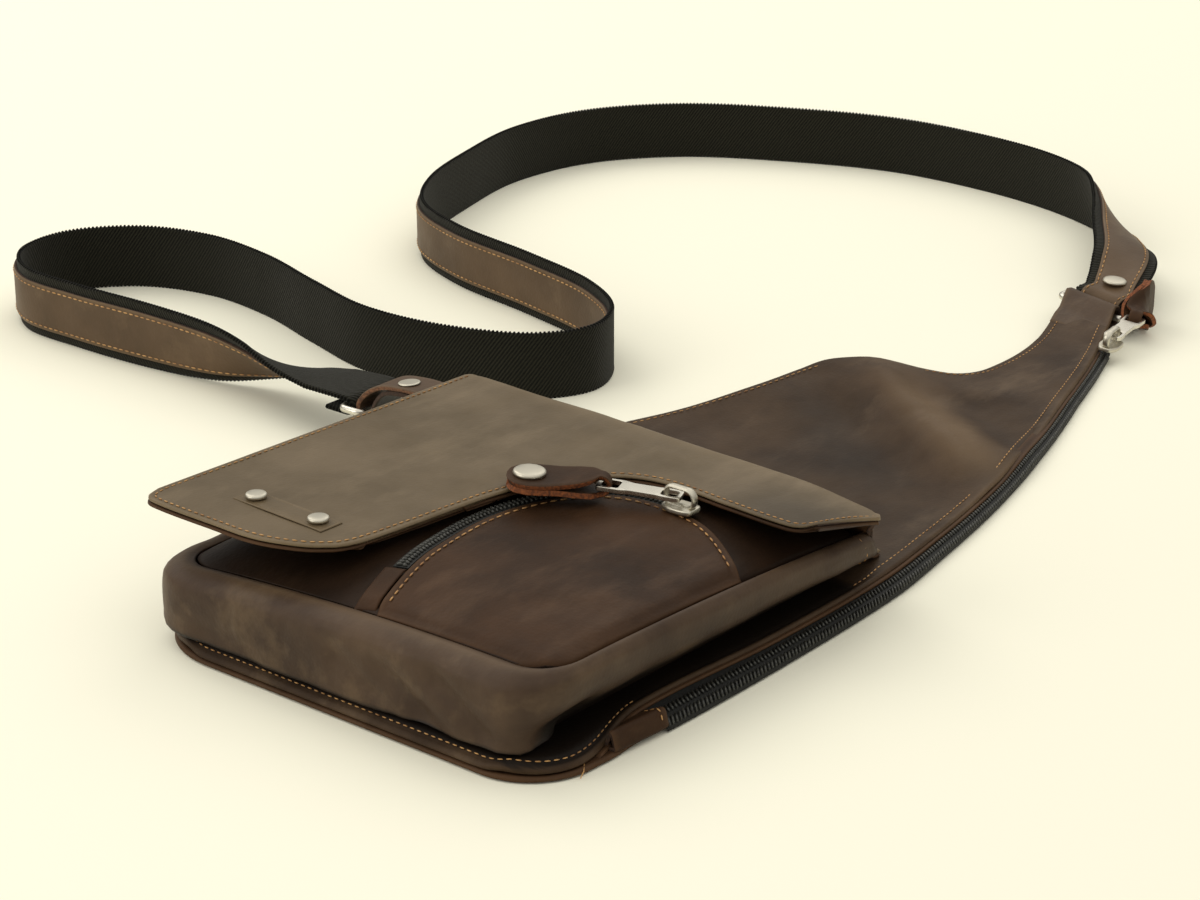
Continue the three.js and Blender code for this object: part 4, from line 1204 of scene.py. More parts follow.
    def ridge_height(self, x: float, y: float) -> float:
        """Gives the height of the fold that runs across the front panel.

        Args:
            x: The place across the bag.
            y: The place up the bag.

        Returns:
            The height above the panel.
        """
        (ax, ay), (bx, by), (width, height, ends) = self.ridge_from, self.ridge_to, self.ridge
        length = math.hypot(bx - ax, by - ay)
        along = ((x - ax) * (bx - ax) + (y - ay) * (by - ay)) / length ** 2
        off = ((x - ax) * (by - ay) - (y - ay) * (bx - ax)) / length
        return height * ease(along / ends) * ease((1 - along) / ends) * bell(off, width)

    def skewed(self, x: float, y: float) -> float:
        """Gives the slant of the narrow top end."""
        amount, start, pivot = self.skew
        return y + amount * clamp((y - start) / (self.tip - start)) * (x - pivot)

    def across(self, k: int, width: float) -> float:
        """Gives the distance of a column from the left edge, close together near both edges.

        Args:
            k: The column's number.
            width: The panel's width there.

        Returns:
            The distance.
        """
        steps = self.edge_steps
        if k < len(steps):
            return steps[k] * min(1.0, width / (2.4 * steps[-1]))
        if k >= self.columns - len(steps):
            return width - self.across(self.columns - 1 - k, width)
        edge = self.across(len(steps) - 1, width)
        return mix(edge, width - edge, (k - len(steps) + 1) / (self.columns - 2 * len(steps) + 1))

    def stations(self) -> list[float]:
        """Gives the stations up the panels, closest in the round corners.

        Returns:
            The places up the bag.
        """
        corner = [self.corner_left * (1 - math.cos(a)) for a in spaced(0.0, math.pi / 2, 22)]
        near_tip = [self.tip - d for d in reversed(self.edge_steps)]
        return [*corner, *spaced(self.corner_left, near_tip[0], 150)[1:], *near_tip[1:]]

    def sheet(self, right: Callable, top: Callable, relief: Relief, wear_and_shade: Callable) -> bmesh.types.BMesh:
        """Lays one panel.

        Args:
            right: Its right edge at a station.
            top: The height of its upper face.
            relief: Its low relief.
            wear_and_shade: How rubbed it is, with painted highlight and painted shade.

        Returns:
            The panel as a sheet.
        """
        def at(k: float, y: float) -> Vector:
            """Gives a point of the panel's upper face.

            Args:
                k: The column's number.
                y: The place up the bag.

            Returns:
                The point.
            """
            left = self.left_edge(y)
            width = right(y) - left
            x = left + mix(width * k / (self.columns - 1), self.across(int(k), width), ease(y / 12.0))
            return Vector((x, self.skewed(x, y), top(x, y)))

        return lay_sheet(at, list(range(self.columns)), self.stations(), relief, wear_and_shade)

    def front_wear_and_shade(self, point: Vector, rim: float) -> float:
        """Gives the front panel's wear and painted light: rubbed along its edge, painted highlight and shade
        along its folds, painted shade under the pocket and behind the flap.

        Args:
            point: A point of the sheet.
            rim: Its distance from the sheet's edge.

        Returns:
            The wear, up to 1 where rubbed and where a painted highlight lies, down to -1 in painted shade.
        """
        x, y = point.x, point.y
        sewn = ramp(min(x - self.left_edge(y), y), 1.9, 1.5)
        # Painted shade where the panel lies under the pocket, dark in the gap beside the gusset
        hidden = min(sewn, ease(self.zip_edge(y) - x - 0.8)) * (1 - ramp(y, *self.pocket_end))
        # Painted shade behind the flap
        behind_flap = 0.3 * (1 - ramp(y, *self.flap_shade))
        # Rubbing along the edge, with painted highlight on the fold's ridge and painted shade in its
        # valleys, partly the leather's own tone
        rubbed_and_lit = 0.3 * bell(rim, 1.6) + sum(fold(point) for fold in self.folds)
        return rubbed_and_lit - max(0.92 * hidden, behind_flap)

    def seam_top(self, x: float, y: float) -> float:
        """Gives the height of the front panel at a point of its slanted plan."""
        return self.front_top(x, 2 * y - self.skewed(x, y))

    def build_facing(self) -> None:
        """Builds the turned-in edge that shows under the front panel beside the zip."""
        out, down = self.facing

        def at(share: float, y: float) -> Vector:
            """Gives a point of the facing's upper face."""
            x = self.zip_edge(y) + mix(-4.0, out, share)
            return Vector((x, self.skewed(x, y), self.front_top(self.zip_edge(y), y) - down))

        ys = [y for y in self.stations() if 30.0 < y < 486.0]
        bm = lay_sheet(at, spaced(0.0, 1.0, 14), ys, Relief(roll=0.8, wave=0.0), edge_rub(0.5))
        thicken(deliver(bm, "front_panel_facing_leather", [DARK, EDGE], Slot.DARK_LEATHER), SKIVED)

    def outline(self, inset: float) -> list[Vector]:
        """Gives a flat line inside the front panel's edge, down the left side and up the right.

        Args:
            inset: The distance from the edge.

        Returns:
            The line's points.
        """
        ys = self.stations()
        edge = [(self.left_edge(y), y) for y in reversed(ys)] + [(self.zip_edge(y), y) for y in ys]
        return offset_line([Vector((x, self.skewed(x, y), 0.0)) for x, y in edge], inset)

    def low_end(self, point: Vector) -> float:
        """Gives 1 on the lower part of the panel and 0 on the wing, whose seam is further in."""
        return 1 - ramp(point.y, *self.seam_shift)

    def under_edge(self, y: float) -> float:
        """Gives the back panel's right edge, drawn in under the zip."""
        return self.right_edge(y) - self.under_zip * ramp(y, *self.zip_tuck)

    def build(self) -> None:
        """Builds both panels and their stitches."""
        relief = Relief(
            channel=self.seam, depth=0.35, roll=self.roll, wave=0.5, wave_mm=42.0, creases=self.creases,
            sewn=self.low_end)
        back = self.sheet(self.under_edge, self.back_top, Relief(roll=self.roll, wave=0.0), edge_rub(0.4))
        deliver_leather(back, "back_panel", [DARK, EDGE], Slot.DARK_LEATHER, self.layer)
        front = self.sheet(self.zip_edge, self.front_top, relief, self.front_wear_and_shade)
        deliver_leather(front, "front_panel", [WING, EDGE], Slot.LEATHER, self.layer)
        self.build_facing()
        lifted, normal = on_height(self.seam_top)
        sewn = zip(self.outline(self.seam), self.outline(self.wing_seam))
        low, high = self.seam - 0.6, self.tip - 2
        line = [lifted(far.lerp(near, self.low_end(near))) for near, far in sewn if low < near.y < high]
        low, high = self.hidden_seam
        split = [i for i, p in enumerate(line) if p.x > 50 and low < p.y < high]
        bm = bmesh.new()
        for part in (line[:split[0]], line[split[-1]:]):
            Stitching(pitch=3.2, length=2.4, width=0.55, height=0.5).sew(bm, part, normal)
        loose = Stitching(pitch=1.0, length=1.5, width=0.5, height=0.5)
        loose.sew(bm, [Vector(p) for p in self.loose_end], lambda point: UP)
        deliver(bm, "front_panel_stitches", [THREAD], Slot.LEATHER)


@dataclass
class Pocket:
    """The pocket: a gusset round three sides, a crowned front, and a zip pocket with a curved edge on it."""

    panels: Panels
    left: float = -88.0
    right: float = 87.0
    bottom: float = 15.0
    mouth: float = 192.0
    corner: float = 15.0
    top: float = 40.5
    rise_up: float = 0.25
    crown: float = 5.0
    mouth_dip: float = 6.0
    dip_from: float = 0.75
    mouth_inset: float = 3.0
    slant: tuple[float, float, float] = (40.0, 1.0, 10.0)
    # Heights of the seam: left, middle and right at the bottom, left and right at the mouth
    heights: tuple[float, ...] = (28.0, 34.5, 35.5, 31.0, 28.0)
    # Gusset section from base to seam: share of the height, share of the bulge, share turned to the base,
    # the same on the right side
    section: tuple[tuple[float, ...], ...] = (
        (0, 1, 1, 1), (0.06, 1, 0.12, 0.92), (0.28, 1, 0.02, 0.55), (0.6, 1, 0, 0.06), (0.88, 0.95, 0, 0),
        (1.0, 0.7, 0, 0), (1.05, 0.36, 0, 0), (1.0, 0, 0, 0),
    )
    # Bulge past the seam and place of the base, for the left side, the bottom and the right side
    bulge: tuple[float, float, float] = (9.0, 14.0, 6.0)
    base: tuple[float, float, float] = (4.0, 5.0, -12.0)
    # How far the gusset hangs over the seam below it at the bottom
    hang: float = 1.6
    # Creases of the gusset, then of the zip pocket panel
    creases: tuple[Crease, ...] = (
        Crease((-48.6, 1, 10), (-48.0, 1, 34), 1.0, 0.7), Crease((-22.0, 1, 9), (-21.0, 1, 35), 1.0, 0.6),
        Crease((2.0, 1, 12), (3.0, 1, 36), 1.0, 0.6),
        Crease((16.0, 1, 28), (50.0, 1, 9), 4.5, 2.4), Crease((42.0, 1, 32), (78.0, 3, 8), 4.0, 2.8),
        Crease((-2.0, 1, 26), (28.0, 1, 9), 4.0, 1.7), Crease((-70.0, 2, 14), (-30.0, 1, 9), 5.0, 1.2),
        Crease((30.0, 1, 8), (78.0, 4, 10), 5.0, 1.4), Crease((84.0, 7, 12), (92.0, 40, 14), 7.0, 4.0),
        Crease((92.0, 30, 26), (93.0, 150, 25), 2.5, 0.5))
    zip_creases: tuple[Crease, ...] = (
        Crease((30, 95, 42), (60, 108, 42), 6.0, 0.5), Crease((48, 40, 41), (80, 62, 38), 8.0, 0.9),
        Crease((22, 60, 42), (38, 40, 41), 7.0, 0.5))
    # Painted shade over the whole pocket front, which lies under the flap
    under_flap_shade: float = -0.62
    front_inset: float = 0.5
    arc: tuple[tuple[float, float], ...] = (
        (9, 17), (-2, 55), (-6, 95), (4, 126), (24, 139), (56, 137), (85.5, 121))
    border_inset: float = 0.3
    zip_panel: float = 1.4
    sewn_rise: float = 0.2
    zip_near: float = 0.8
    zip_width: float = 6.0
    zip_reach: tuple[float, float] = (0.13, 0.78)
    coil_end: float = 0.76
    lip: tuple[float, float, float, float] = (0.8, 9.0, 0.0, 0.122)
    lip_thickness: float = 1.4
    coil_pitch: float = 1.9
    tooth: tuple[float, float, float] = (0.72, 1.35, 0.85)
    seam: float = 3.0

    def __post_init__(self) -> None:
        """Works out the seam line and the zip pocket's edge."""
        self.floor = LEATHER + SEAT + LEATHER + self.panels.table[0][5] + SEAT
        rows = list(range(len(self.section)))
        self.up, self.out, self.sink, self.sink_right = (Column(rows, c) for c in zip(*self.section))
        low, left, right = self.bottom + self.corner, self.left + self.corner, self.right - self.corner
        self.seam_line = Route([
            Vector((self.left, self.mouth, 0.0)), *self.bend(left, low, self.corner, 0.0),
            *self.bend(right, low, self.corner, math.pi / 2), Vector((self.right, self.mouth, 0.0))])
        points = [Vector((x, y, 0.0)) for x, y in self.arc]
        self.arc_line = Route([self.spline(points, t) for t in spaced(0.0, len(points) - 1, 240)])
        inset = self.border_inset
        self.border = Route([
            Vector((self.arc[0][0], self.bottom + inset, 0.0)),
            *self.bend(right, low, self.corner - inset, math.pi / 2),
            Vector((self.right - inset, self.arc[-1][1], 0.0))])

    @staticmethod
    def bend(x: float, y: float, radius: float, turn: float) -> list[Vector]:
        """Gives a quarter circle of the plan round a centre, from the left side on or a turn later."""
        angles = [angle + turn for angle in spaced(math.pi, 1.5 * math.pi, 24)]
        return [Vector((x + radius * math.cos(a), y + radius * math.sin(a), 0.0)) for a in angles]

    @staticmethod
    def spline(points: Sequence[Vector], at: float) -> Vector:
        """Reads an even spline through points at a place counted in points.

        Args:
            points: The points that it passes.
            at: The place.

        Returns:
            The point there.
        """
        last = len(points) - 1
        i = min(int(at), last - 1)
        t = at - i
        p0, p1, p2, p3 = (points[min(max(k, 0), last)] for k in (i - 1, i, i + 1, i + 2))
        m1, m2 = (p2 - p0) / 2, (p3 - p1) / 2
        return (2 * p1 - 2 * p2 + m1 + m2) * t ** 3 + (3 * p2 - 3 * p1 - 2 * m1 - m2) * t * t + m1 * t + p1

    def share(self, x: float, y: float) -> tuple[float, float]:
        """Gives a point's shares across and up the pocket."""
        across = (x - self.left) / (self.right - self.left)
        return clamp(across), clamp((y - self.bottom) / (self.mouth - self.bottom))

    def seam_height(self, x: float, y: float) -> float:
        """Gives the height of the seam between the gusset and the front.

        Args:
            x: The place across the bag.
            y: The place up the bag.

        Returns:
            The height.
        """
        across, up = self.share(x, y)
        left, middle, right, left_mouth, right_mouth = self.heights
        low = mix(left, right, across) + 4 * across * (1 - across) * (middle - (left + right) / 2)
        return mix(low, mix(left_mouth, right_mouth, across), up ** 2)

    def front_top(self, x: float, y: float) -> float:
        """Gives the height of the pocket front's upper face.

        Args:
            x: The place across the bag.
            y: The place up the bag.

        Returns:
            The height.
        """
        across, up = self.share(x, y)
        rise = (1 - abs(2 * across - 1) ** self.crown) * (1 - (1 - clamp(up / self.rise_up)) ** 2)
        dip = self.mouth_dip * ramp(up, self.dip_from, 1 - self.dip_from)
        return mix(self.seam_height(x, y), self.top - dip, rise)

    @staticmethod
    def side(outward: Vector, values: tuple[float, float, float]) -> float:
        """Blends a value of the left side, the bottom and the right side by the outward direction.

        Args:
            outward: The direction out of the pocket.
            values: The three values.

        Returns:
            The blended value.
        """
        left, right = clamp(-outward.x), clamp(outward.x)
        sides = (left * values[0] + right * values[2]) / max(left + right, 1e-6)
        return mix(values[1], sides, (left + right) ** 2)

    def gusset_at(self, share: float, at: float) -> Vector:
        """Gives a point of the gusset's outer face.

        Args:
            share: The share of the seam's length, from the left end of the mouth.
            at: The place in the section's rows, from the base.

        Returns:
            The point.
        """
        point, ahead = self.seam_line.at(share), self.seam_line.tangent(share)
        outward = Vector((ahead.y, -ahead.x, 0.0))
        up = self.up(at)
        sink = mix(self.sink(at), self.sink_right(at), clamp(outward.x) ** 2)
        reach = mix(self.side(outward, self.bulge) * self.out(at), self.side(outward, self.base), sink)
        near = clamp(1 - (self.mouth - point.y) / self.slant[0])
        slant = self.slant[2] if outward.x > 0 else self.slant[1]
        moved = point + outward * reach
        moved.y += slant * near * (1 - min(up, 1.0))
        moved.z = mix(self.floor, self.seam_height(point.x, point.y), up)
        moved.z -= self.hang * bell(at - 1.1, 0.7) * clamp(-outward.y) ** 2
        return moved

    def pocket_edge(self, y: float) -> float:
        """Gives how far the front's edge lies inside the pocket's sides."""
        start = self.bottom + self.front_inset
        return self.panels.corner(max(y - start, 0.0), self.corner) + self.front_inset

    def front_at(self, across: float, y: float) -> Vector:
        """Gives a point of the pocket front's upper face.

        Args:
            across: The share across it.
            y: The place up the bag.

        Returns:
            The point.
        """
        edge = self.pocket_edge(y)
        x = mix(self.left + edge, self.right - edge, across)
        return Vector((x, y, self.front_top(x, y)))

    def on_front(self, x: float, y: float, lift: float) -> Vector:
        """Gives a point above the pocket front."""
        return Vector((x, y, self.front_top(x, y) + lift))

    def beside_arc(self, share: float, distance: float, lift: float) -> Vector:
        """Gives a point at a distance outside the zip pocket's curved edge."""
        point, ahead = self.arc_line.at(share), self.arc_line.tangent(share)
        return self.on_front(point.x - ahead.y * distance, point.y + ahead.x * distance, lift)

    def zip_panel_at(self, share: float, inward: float) -> Vector:
        """Gives a point of the zip pocket panel's upper face."""
        point = self.arc_line.at(share).lerp(self.border.at(share), inward)
        return self.on_front(point.x, point.y, self.zip_rise(point))

    def zip_rise(self, point: Vector) -> float:
        """Gives the height of the zip pocket panel's upper face above the pocket front."""
        return mix(POCKET_SEAT + self.zip_panel, self.sewn_rise, self.sewn_in(point))

    def sewn_in(self, point: Vector) -> float:
        """Gives how far a point of the zip pocket is drawn down into the gusset's seam."""
        return 1 - ease(min(point.y - self.bottom, self.right - point.x) / 7.0)

    @staticmethod
    def gusset_wear_and_shade(point: Vector, rim: float) -> float:
        """Gives the gusset's wear and painted shade: rubbed along its upper edge, painted shade along its
        base and on its right side, where it tucks under.

        Args:
            point: A point of the sheet.
            rim: Its distance from the sheet's edge.

        Returns:
            The wear, up to 1 where rubbed and down to -1 where grimed.
        """
        rubbed_and_lit = 0.25 * bell(rim - 4.0, 3.0) * ramp(point.z, 22.0, 8.0)
        # Painted shade on the tucked-in right side below the lip, and along the base above the flange
        right = ramp(point.x, 66.0, 14.0) * ramp(point.y, 8.0, 14.0)
        shaded = max(right * (1 - 0.64 * ramp(point.z, 14.0, 8.0)), 1 - ramp(point.z, 7.6, 2.0))
        return rubbed_and_lit - 0.9 * shaded

    def build_gusset(self) -> None:
        """Builds the gusset with its creases."""
        relief = Relief(roll=0.0, wave=0.7, wave_mm=26.0, creases=self.creases)
        shares = spaced(0.0, 1.0, 230)
        rows = spaced(0.0, len(self.section) - 1, 40)
        bm = lay_sheet(self.gusset_at, shares, rows, relief, self.gusset_wear_and_shade)
        deliver_leather(bm, "pocket_gusset", [BROWN, EDGE], Slot.LEATHER, LEATHER)
        line = [self.gusset_at(0.988, at) for at in spaced(2.4, 5.6, 14)]
        seam = Stitching(pitch=3.2, length=2.4, width=0.55)
        seam.build("pocket_gusset_stitches", line, lambda point: Vector((0.8, 0.0, 0.6)))

    def build_front(self) -> None:
        """Builds the pocket front and the zip pocket panel on it, with their stitches."""
        start = self.bottom + self.front_inset
        ys = [start + self.corner * (1 - math.cos(a)) for a in spaced(0.0, math.pi / 2, 14)]
        ys += spaced(start + self.corner, self.mouth - self.mouth_inset, 56)[1:]
        # The pocket front is darkened all over by painted shade
        bm = lay_sheet(
            self.front_at, spaced(0.0, 1.0, 70), ys, Relief(wave=0.35), lambda point, rim: self.under_flap_shade)
        deliver_leather(bm, "pocket_front", [DARK, EDGE], Slot.DARK_LEATHER, LEATHER)
        inward = [1 - t for t in spaced(0.0, 0.9, 46)]
        inward += [0.085, 0.07, 0.056, 0.044, 0.033, 0.022, 0.012, 0.006, 0.002, 0.0]
        relief = Relief(
            channel=self.seam, depth=0.3, roll=0.6, wave=0.4, creases=self.zip_creases,
            sewn=lambda point: 1 - self.sewn_in(point))
        bm = lay_sheet(self.zip_panel_at, spaced(0.004, 0.996, 130), inward, relief, edge_rub(0.25))
        piece = deliver(bm, "zip_pocket_leather", [DARK, EDGE], Slot.LEATHER, ["zip_pocket_panel"])
        thicken(piece, self.zip_panel)
        lifted, normal = on_height(lambda x, y: self.front_top(x, y) + self.zip_rise(Vector((x, y, 0.0))))
        line = offset_line([self.arc_line.at(s) for s in spaced(0.015, 0.985, 160)], -self.seam)
        seam = Stitching(pitch=4.0, length=3.3, width=0.8, height=0.6)
        seam.build("zip_pocket_stitches", [lifted(p) for p in line], normal)

    def build_zip(self) -> None:
        """Builds the curved zip and the leather lip over its lower end."""
        tape = POCKET_SEAT + 0.7

        def tape_at(share: float, across: float) -> Vector:
            """Gives a point of the tape's upper face."""
            return self.beside_arc(share, self.zip_near + self.zip_width * across, tape)

        bm = lay_sheet(tape_at, spaced(*self.zip_reach, 110), spaced(0.0, 1.0, 8))
        thicken(deliver(bm, "front_zip_tape", [TAPE], Slot.ZIP_TAPE, ["front_zip"]), 0.6, 0.15)
        bm = bmesh.new()
        count = int(self.arc_line.length * (self.coil_end - self.zip_reach[0]) / self.coil_pitch)
        for i in range(count):
            share = mix(self.zip_reach[0], self.coil_end, (i + 0.5) / count)
            for side in (-1, 1):
                out = self.zip_near + self.zip_width * (0.5 + 0.17 * side)
                place = self.beside_arc(share, out, tape + 0.35)
                ahead = self.arc_line.tangent(share + 0.25 * side / count)
                turn = Matrix.Rotation(math.atan2(ahead.y, ahead.x) + 0.3 * side, 4, "Z")
                bead(bm, Matrix.Translation(row(place)) @ turn, self.tooth)
        deliver(bm, "front_zip_coil", [COIL], Slot.ZIP_TAPE)
        near, width, start, end = self.lip
        lift = POCKET_SEAT + self.lip_thickness

        def lip_at(share: float, out: float) -> Vector:
            """Gives a point of the lip's upper face, which is skived away from the zip and into the seam."""
            skived = lift * ease(4 * (1 - out) + 0.25) * ease(0.2 + share / 0.04)
            return self.beside_arc(share, near + width * out, skived)

        bm = lay_sheet(lip_at, spaced(start, end, 30), spaced(0.0, 1.0, 18), Relief(roll=0.5, wave=0.2))
        deliver_leather(bm, "zip_lip", [DARK, EDGE], Slot.DARK_LEATHER, SKIVED)

    def build(self) -> None:
        """Builds the pocket."""
        self.build_gusset()
        self.build_front()
        self.build_zip()


@dataclass
class Flap:
    """The flap over the pocket: two layers of leather sewn along the edge, with a plain label patch."""

    panels: Panels
    # x, free edge, height at the free edge, height at the fold
    table: tuple[tuple[float, ...], ...] = (
        (-101, 19, 52, 49), (-99, 12.5, 52, 49), (-93, 9.5, 52, 49), (-62, 9.5, 51.5, 48.5),
        (-45, 10.5, 51, 48.3), (-32, 15, 50.5, 48), (-22, 23, 49.5, 47.5), (-16.5, 35, 48.5, 47.5),
        (-14, 60, 48, 47.5), (-11, 98, 47.4, 47.3), (-5, 119, 47.2, 47.2), (4, 134, 47.2, 47),
        (17, 145, 47.3, 46.8), (34, 148, 47.6, 46.3), (60, 145, 48.2, 45), (88, 142, 49, 42),
        (94.5, 144, 49, 41), (97, 150, 49, 40.5),
    )
    # Share of the way down from the fold to the foot, width of the left side, width of the right side
    sides: tuple[tuple[float, ...], ...] = (
        (0, 1, 1.045), (0.33, 0.947, 0.955), (0.67, 0.893, 0.85), (1, 0.84, 0.8))
    creases: tuple[Crease, ...] = (
        Crease((-90, 60, 51), (-20, 150, 48), 16.0, 0.5), Crease((-40, 168, 48), (40, 176, 47), 7.0, -0.4))
    thickness: float = 3.0
    layer: float = 1.35
    fold: float = 193.0
    radius: float = 9.0
    fall_run: float = 15.0
    foot_length: float = 12.0
    foot_rise: float = 5.0
    seam: float = 2.6
    edge_steps: tuple[float, ...] = (0, 0.1, 0.35, 0.7, 1.1, 1.8, 2.4, 3.0, 3.6, 4.4, 5.6, 7.5)
    roll: float = 1.0
    label_drop: float = 0.85
    label: tuple[float, float, float, float, float] = (-51.5, 35.0, 44.0, 11.0, 1.1)
    label_rivets: tuple[tuple[str, float], ...] = (("label_rivet_left", -67.0), ("label_rivet_right", -36.0))
    rivet: tuple[float, float] = (4.0, 1.7)
    rivet_lift: float = 0.1

    def __post_init__(self) -> None:
        """Reads the table's columns."""
        xs, *columns = zip(*self.table)
        self.edge, self.free, self.back = (Column(xs, c) for c in columns)
        downs, *widths = zip(*self.sides)
        self.left, self.right = (Column(downs, c) for c in widths)
        self.fold_start = self.fold - self.radius

    def top(self, x: float, y: float) -> float:
        """Gives the height of the flap's upper face over the pocket."""
        share = clamp((y - self.edge(x)) / (self.fold_start - self.edge(x)))
        return mix(self.free(x), self.back(x), share)

    def at(self, x: float, line: tuple[float, float, float, float, float]) -> Vector:
        """Gives a point of the flap's upper face.

        Args:
            x: The place across the free edge.
            line: Millimetres from the free edge, then shares of the way over the pocket, round the fold,
                down the back and along the foot.

        Returns:
            The point.
        """
        near, over, bend, fall, foot = line
        near /= self.fold_start - self.edge(x)
        over = mix(near, 1.0, over)
        turn = bend * math.pi / 2
        down = (bend + fall + foot) / 3
        px = x * mix(1.0, (self.left if x < 0 else self.right)(down), clamp(over) ** 2)
        y = mix(self.edge(x), self.fold_start, over) + self.radius * math.sin(turn)
        y += self.fall_run * fall + self.foot_length * foot
        shoulder = self.top(x, y) - self.radius * (1 - math.cos(turn))
        rest = self.panels.front_top(px, y) + SEAT + self.thickness
        return Vector((px, y, mix(shoulder, rest + self.foot_rise * (1 - foot) ** 2, fall)))

    def columns(self) -> list[float]:
        """Gives the stations across the flap, even along its free edge.

        Returns:
            The places across the bag.
        """
        first, last = self.table[0][0], self.table[-1][0]
        edge = Route([Vector((x, self.edge(x), 0.0)) for x in spaced(first, last, 1600)])
        return [p.x for p in edge.even(1.7)]

    def lines(self, reach: float) -> list[tuple[float, float, float, float, float]]:
        """Gives the stations from the free edge to the foot.

        Args:
            reach: How far the first line stands out past the free edge.

        Returns:
            The lines, as at() takes them.
        """
        last = self.edge_steps[-1]
        made = [(d - reach * (1 - d / last), 0.0, 0.0, 0.0, 0.0) for d in self.edge_steps]
        made += [(last, t, 0.0, 0.0, 0.0) for t in spaced(0.0, 1.0, 48)[1:]]
        made += [(last, 1.0, t, 0.0, 0.0) for t in spaced(0.0, 1.0, 10)[1:]]
        made += [(last, 1.0, 1.0, t, 0.0) for t in spaced(0.0, 1.0, 9)[1:]]
        return made + [(last, 1.0, 1.0, 1.0, t) for t in spaced(0.0, 1.0, 9)[1:]]

    def worn_and_shaded(self, point: Vector, rim: float) -> float:
        """Gives the flap's wear and painted shade: rubbed along its edge and fold, with painted shade darker
        towards its right corner.
        """
        # Painted shade towards the right corner
        corner = ramp(point.x, 30.0, 55.0) * ease((182.0 - point.y) / 26.0)
        return 0.3 * bell(rim, 1.4) + 0.35 * bell(point.y - self.fold + 4.0, 7.0) - 0.5 * corner

    def build_layer(
        self, name: str, finish: Finish, reach: float, drop: float, nodes: Sequence[str]
    ) -> None:
        """Builds one of the flap's layers.

        Args:
            name: The piece's name.
            finish: Its face.
            reach: How far it stands out past the free edge.
            drop: How far it lies under the flap's upper face.
            nodes: The solids that it stands for.
        """
        lines = self.lines(reach)
        relief = Relief(
            channel=self.seam, depth=0.28, roll=self.roll, wave=0.5, wave_mm=46.0, creases=self.creases)

        def at(x: float, i: float) -> Vector:
            """Gives a point on one of the layer's lines."""
            return self.at(x, lines[int(i)])

        bm = lay_sheet(at, self.columns(), list(range(len(lines))), relief, self.worn_and_shaded, drop)
        thicken(deliver(bm, name, [finish, EDGE], Slot.LEATHER, nodes), self.layer)

    def build_stitches(self) -> None:
        """Builds the stitches along the free edge and both sides."""
        lifted, normal = on_height(self.top, 0.0)
        first, last = self.table[0][0], self.table[-1][0]
        edge = Route([Vector((x, self.edge(x), 0.0)) for x in spaced(first, last, 900)]).even(1.2)

        def side(x: float) -> list[Vector]:
            """Gives the plan of a side, from the free edge to the fold."""
            return [self.at(x, (0.0, t, 0.0, 0.0, 0.0)).xy.to_3d() for t in spaced(0.0, 1.0, 60)]

        line = offset_line([*reversed(side(first)[1:]), *edge, *side(last)[1:]], self.seam)
        seam = Stitching(pitch=3.1, length=2.4, width=0.65, height=0.5)
        seam.build("flap_stitches", [lifted(p) for p in line], normal)

    def build_label(self) -> None:
        """Builds the plain label patch and its rivets."""
        x0, y0, length, width, thickness = self.label

        def at(along: float, up: float) -> Vector:
            """Gives a point of the patch's upper face."""
            x, y = x0 + length * along, y0 + width * up
            return Vector((x, y, self.top(x, y) + SEAT + thickness - self.label_drop))

        pressed = Relief(channel=1.5, depth=0.3, roll=0.4, wave=0.1)
        bm = lay_sheet(at, spaced(-0.5, 0.5, 90), spaced(-0.5, 0.5, 32), pressed, edge_rub(0.2))
        deliver_leather(bm, "label_patch", [RUBBED, EDGE], Slot.DARK_LEATHER, 0.4)
        for name, x in self.label_rivets:
            z = self.top(x, y0) + 2 * SEAT + thickness + self.rivet_lift
            build_rivet(name, self.rivet, Matrix.Translation((x, y0, z - self.label_drop)))

    def build(self) -> None:
        """Builds the flap."""
        self.build_layer("flap_leather", RUBBED, 0.0, 0.0, ["flap"])
        self.build_layer("flap_lining_leather", DARK, 0.5, self.thickness - self.layer, [])
        self.build_stitches()
        self.build_label()


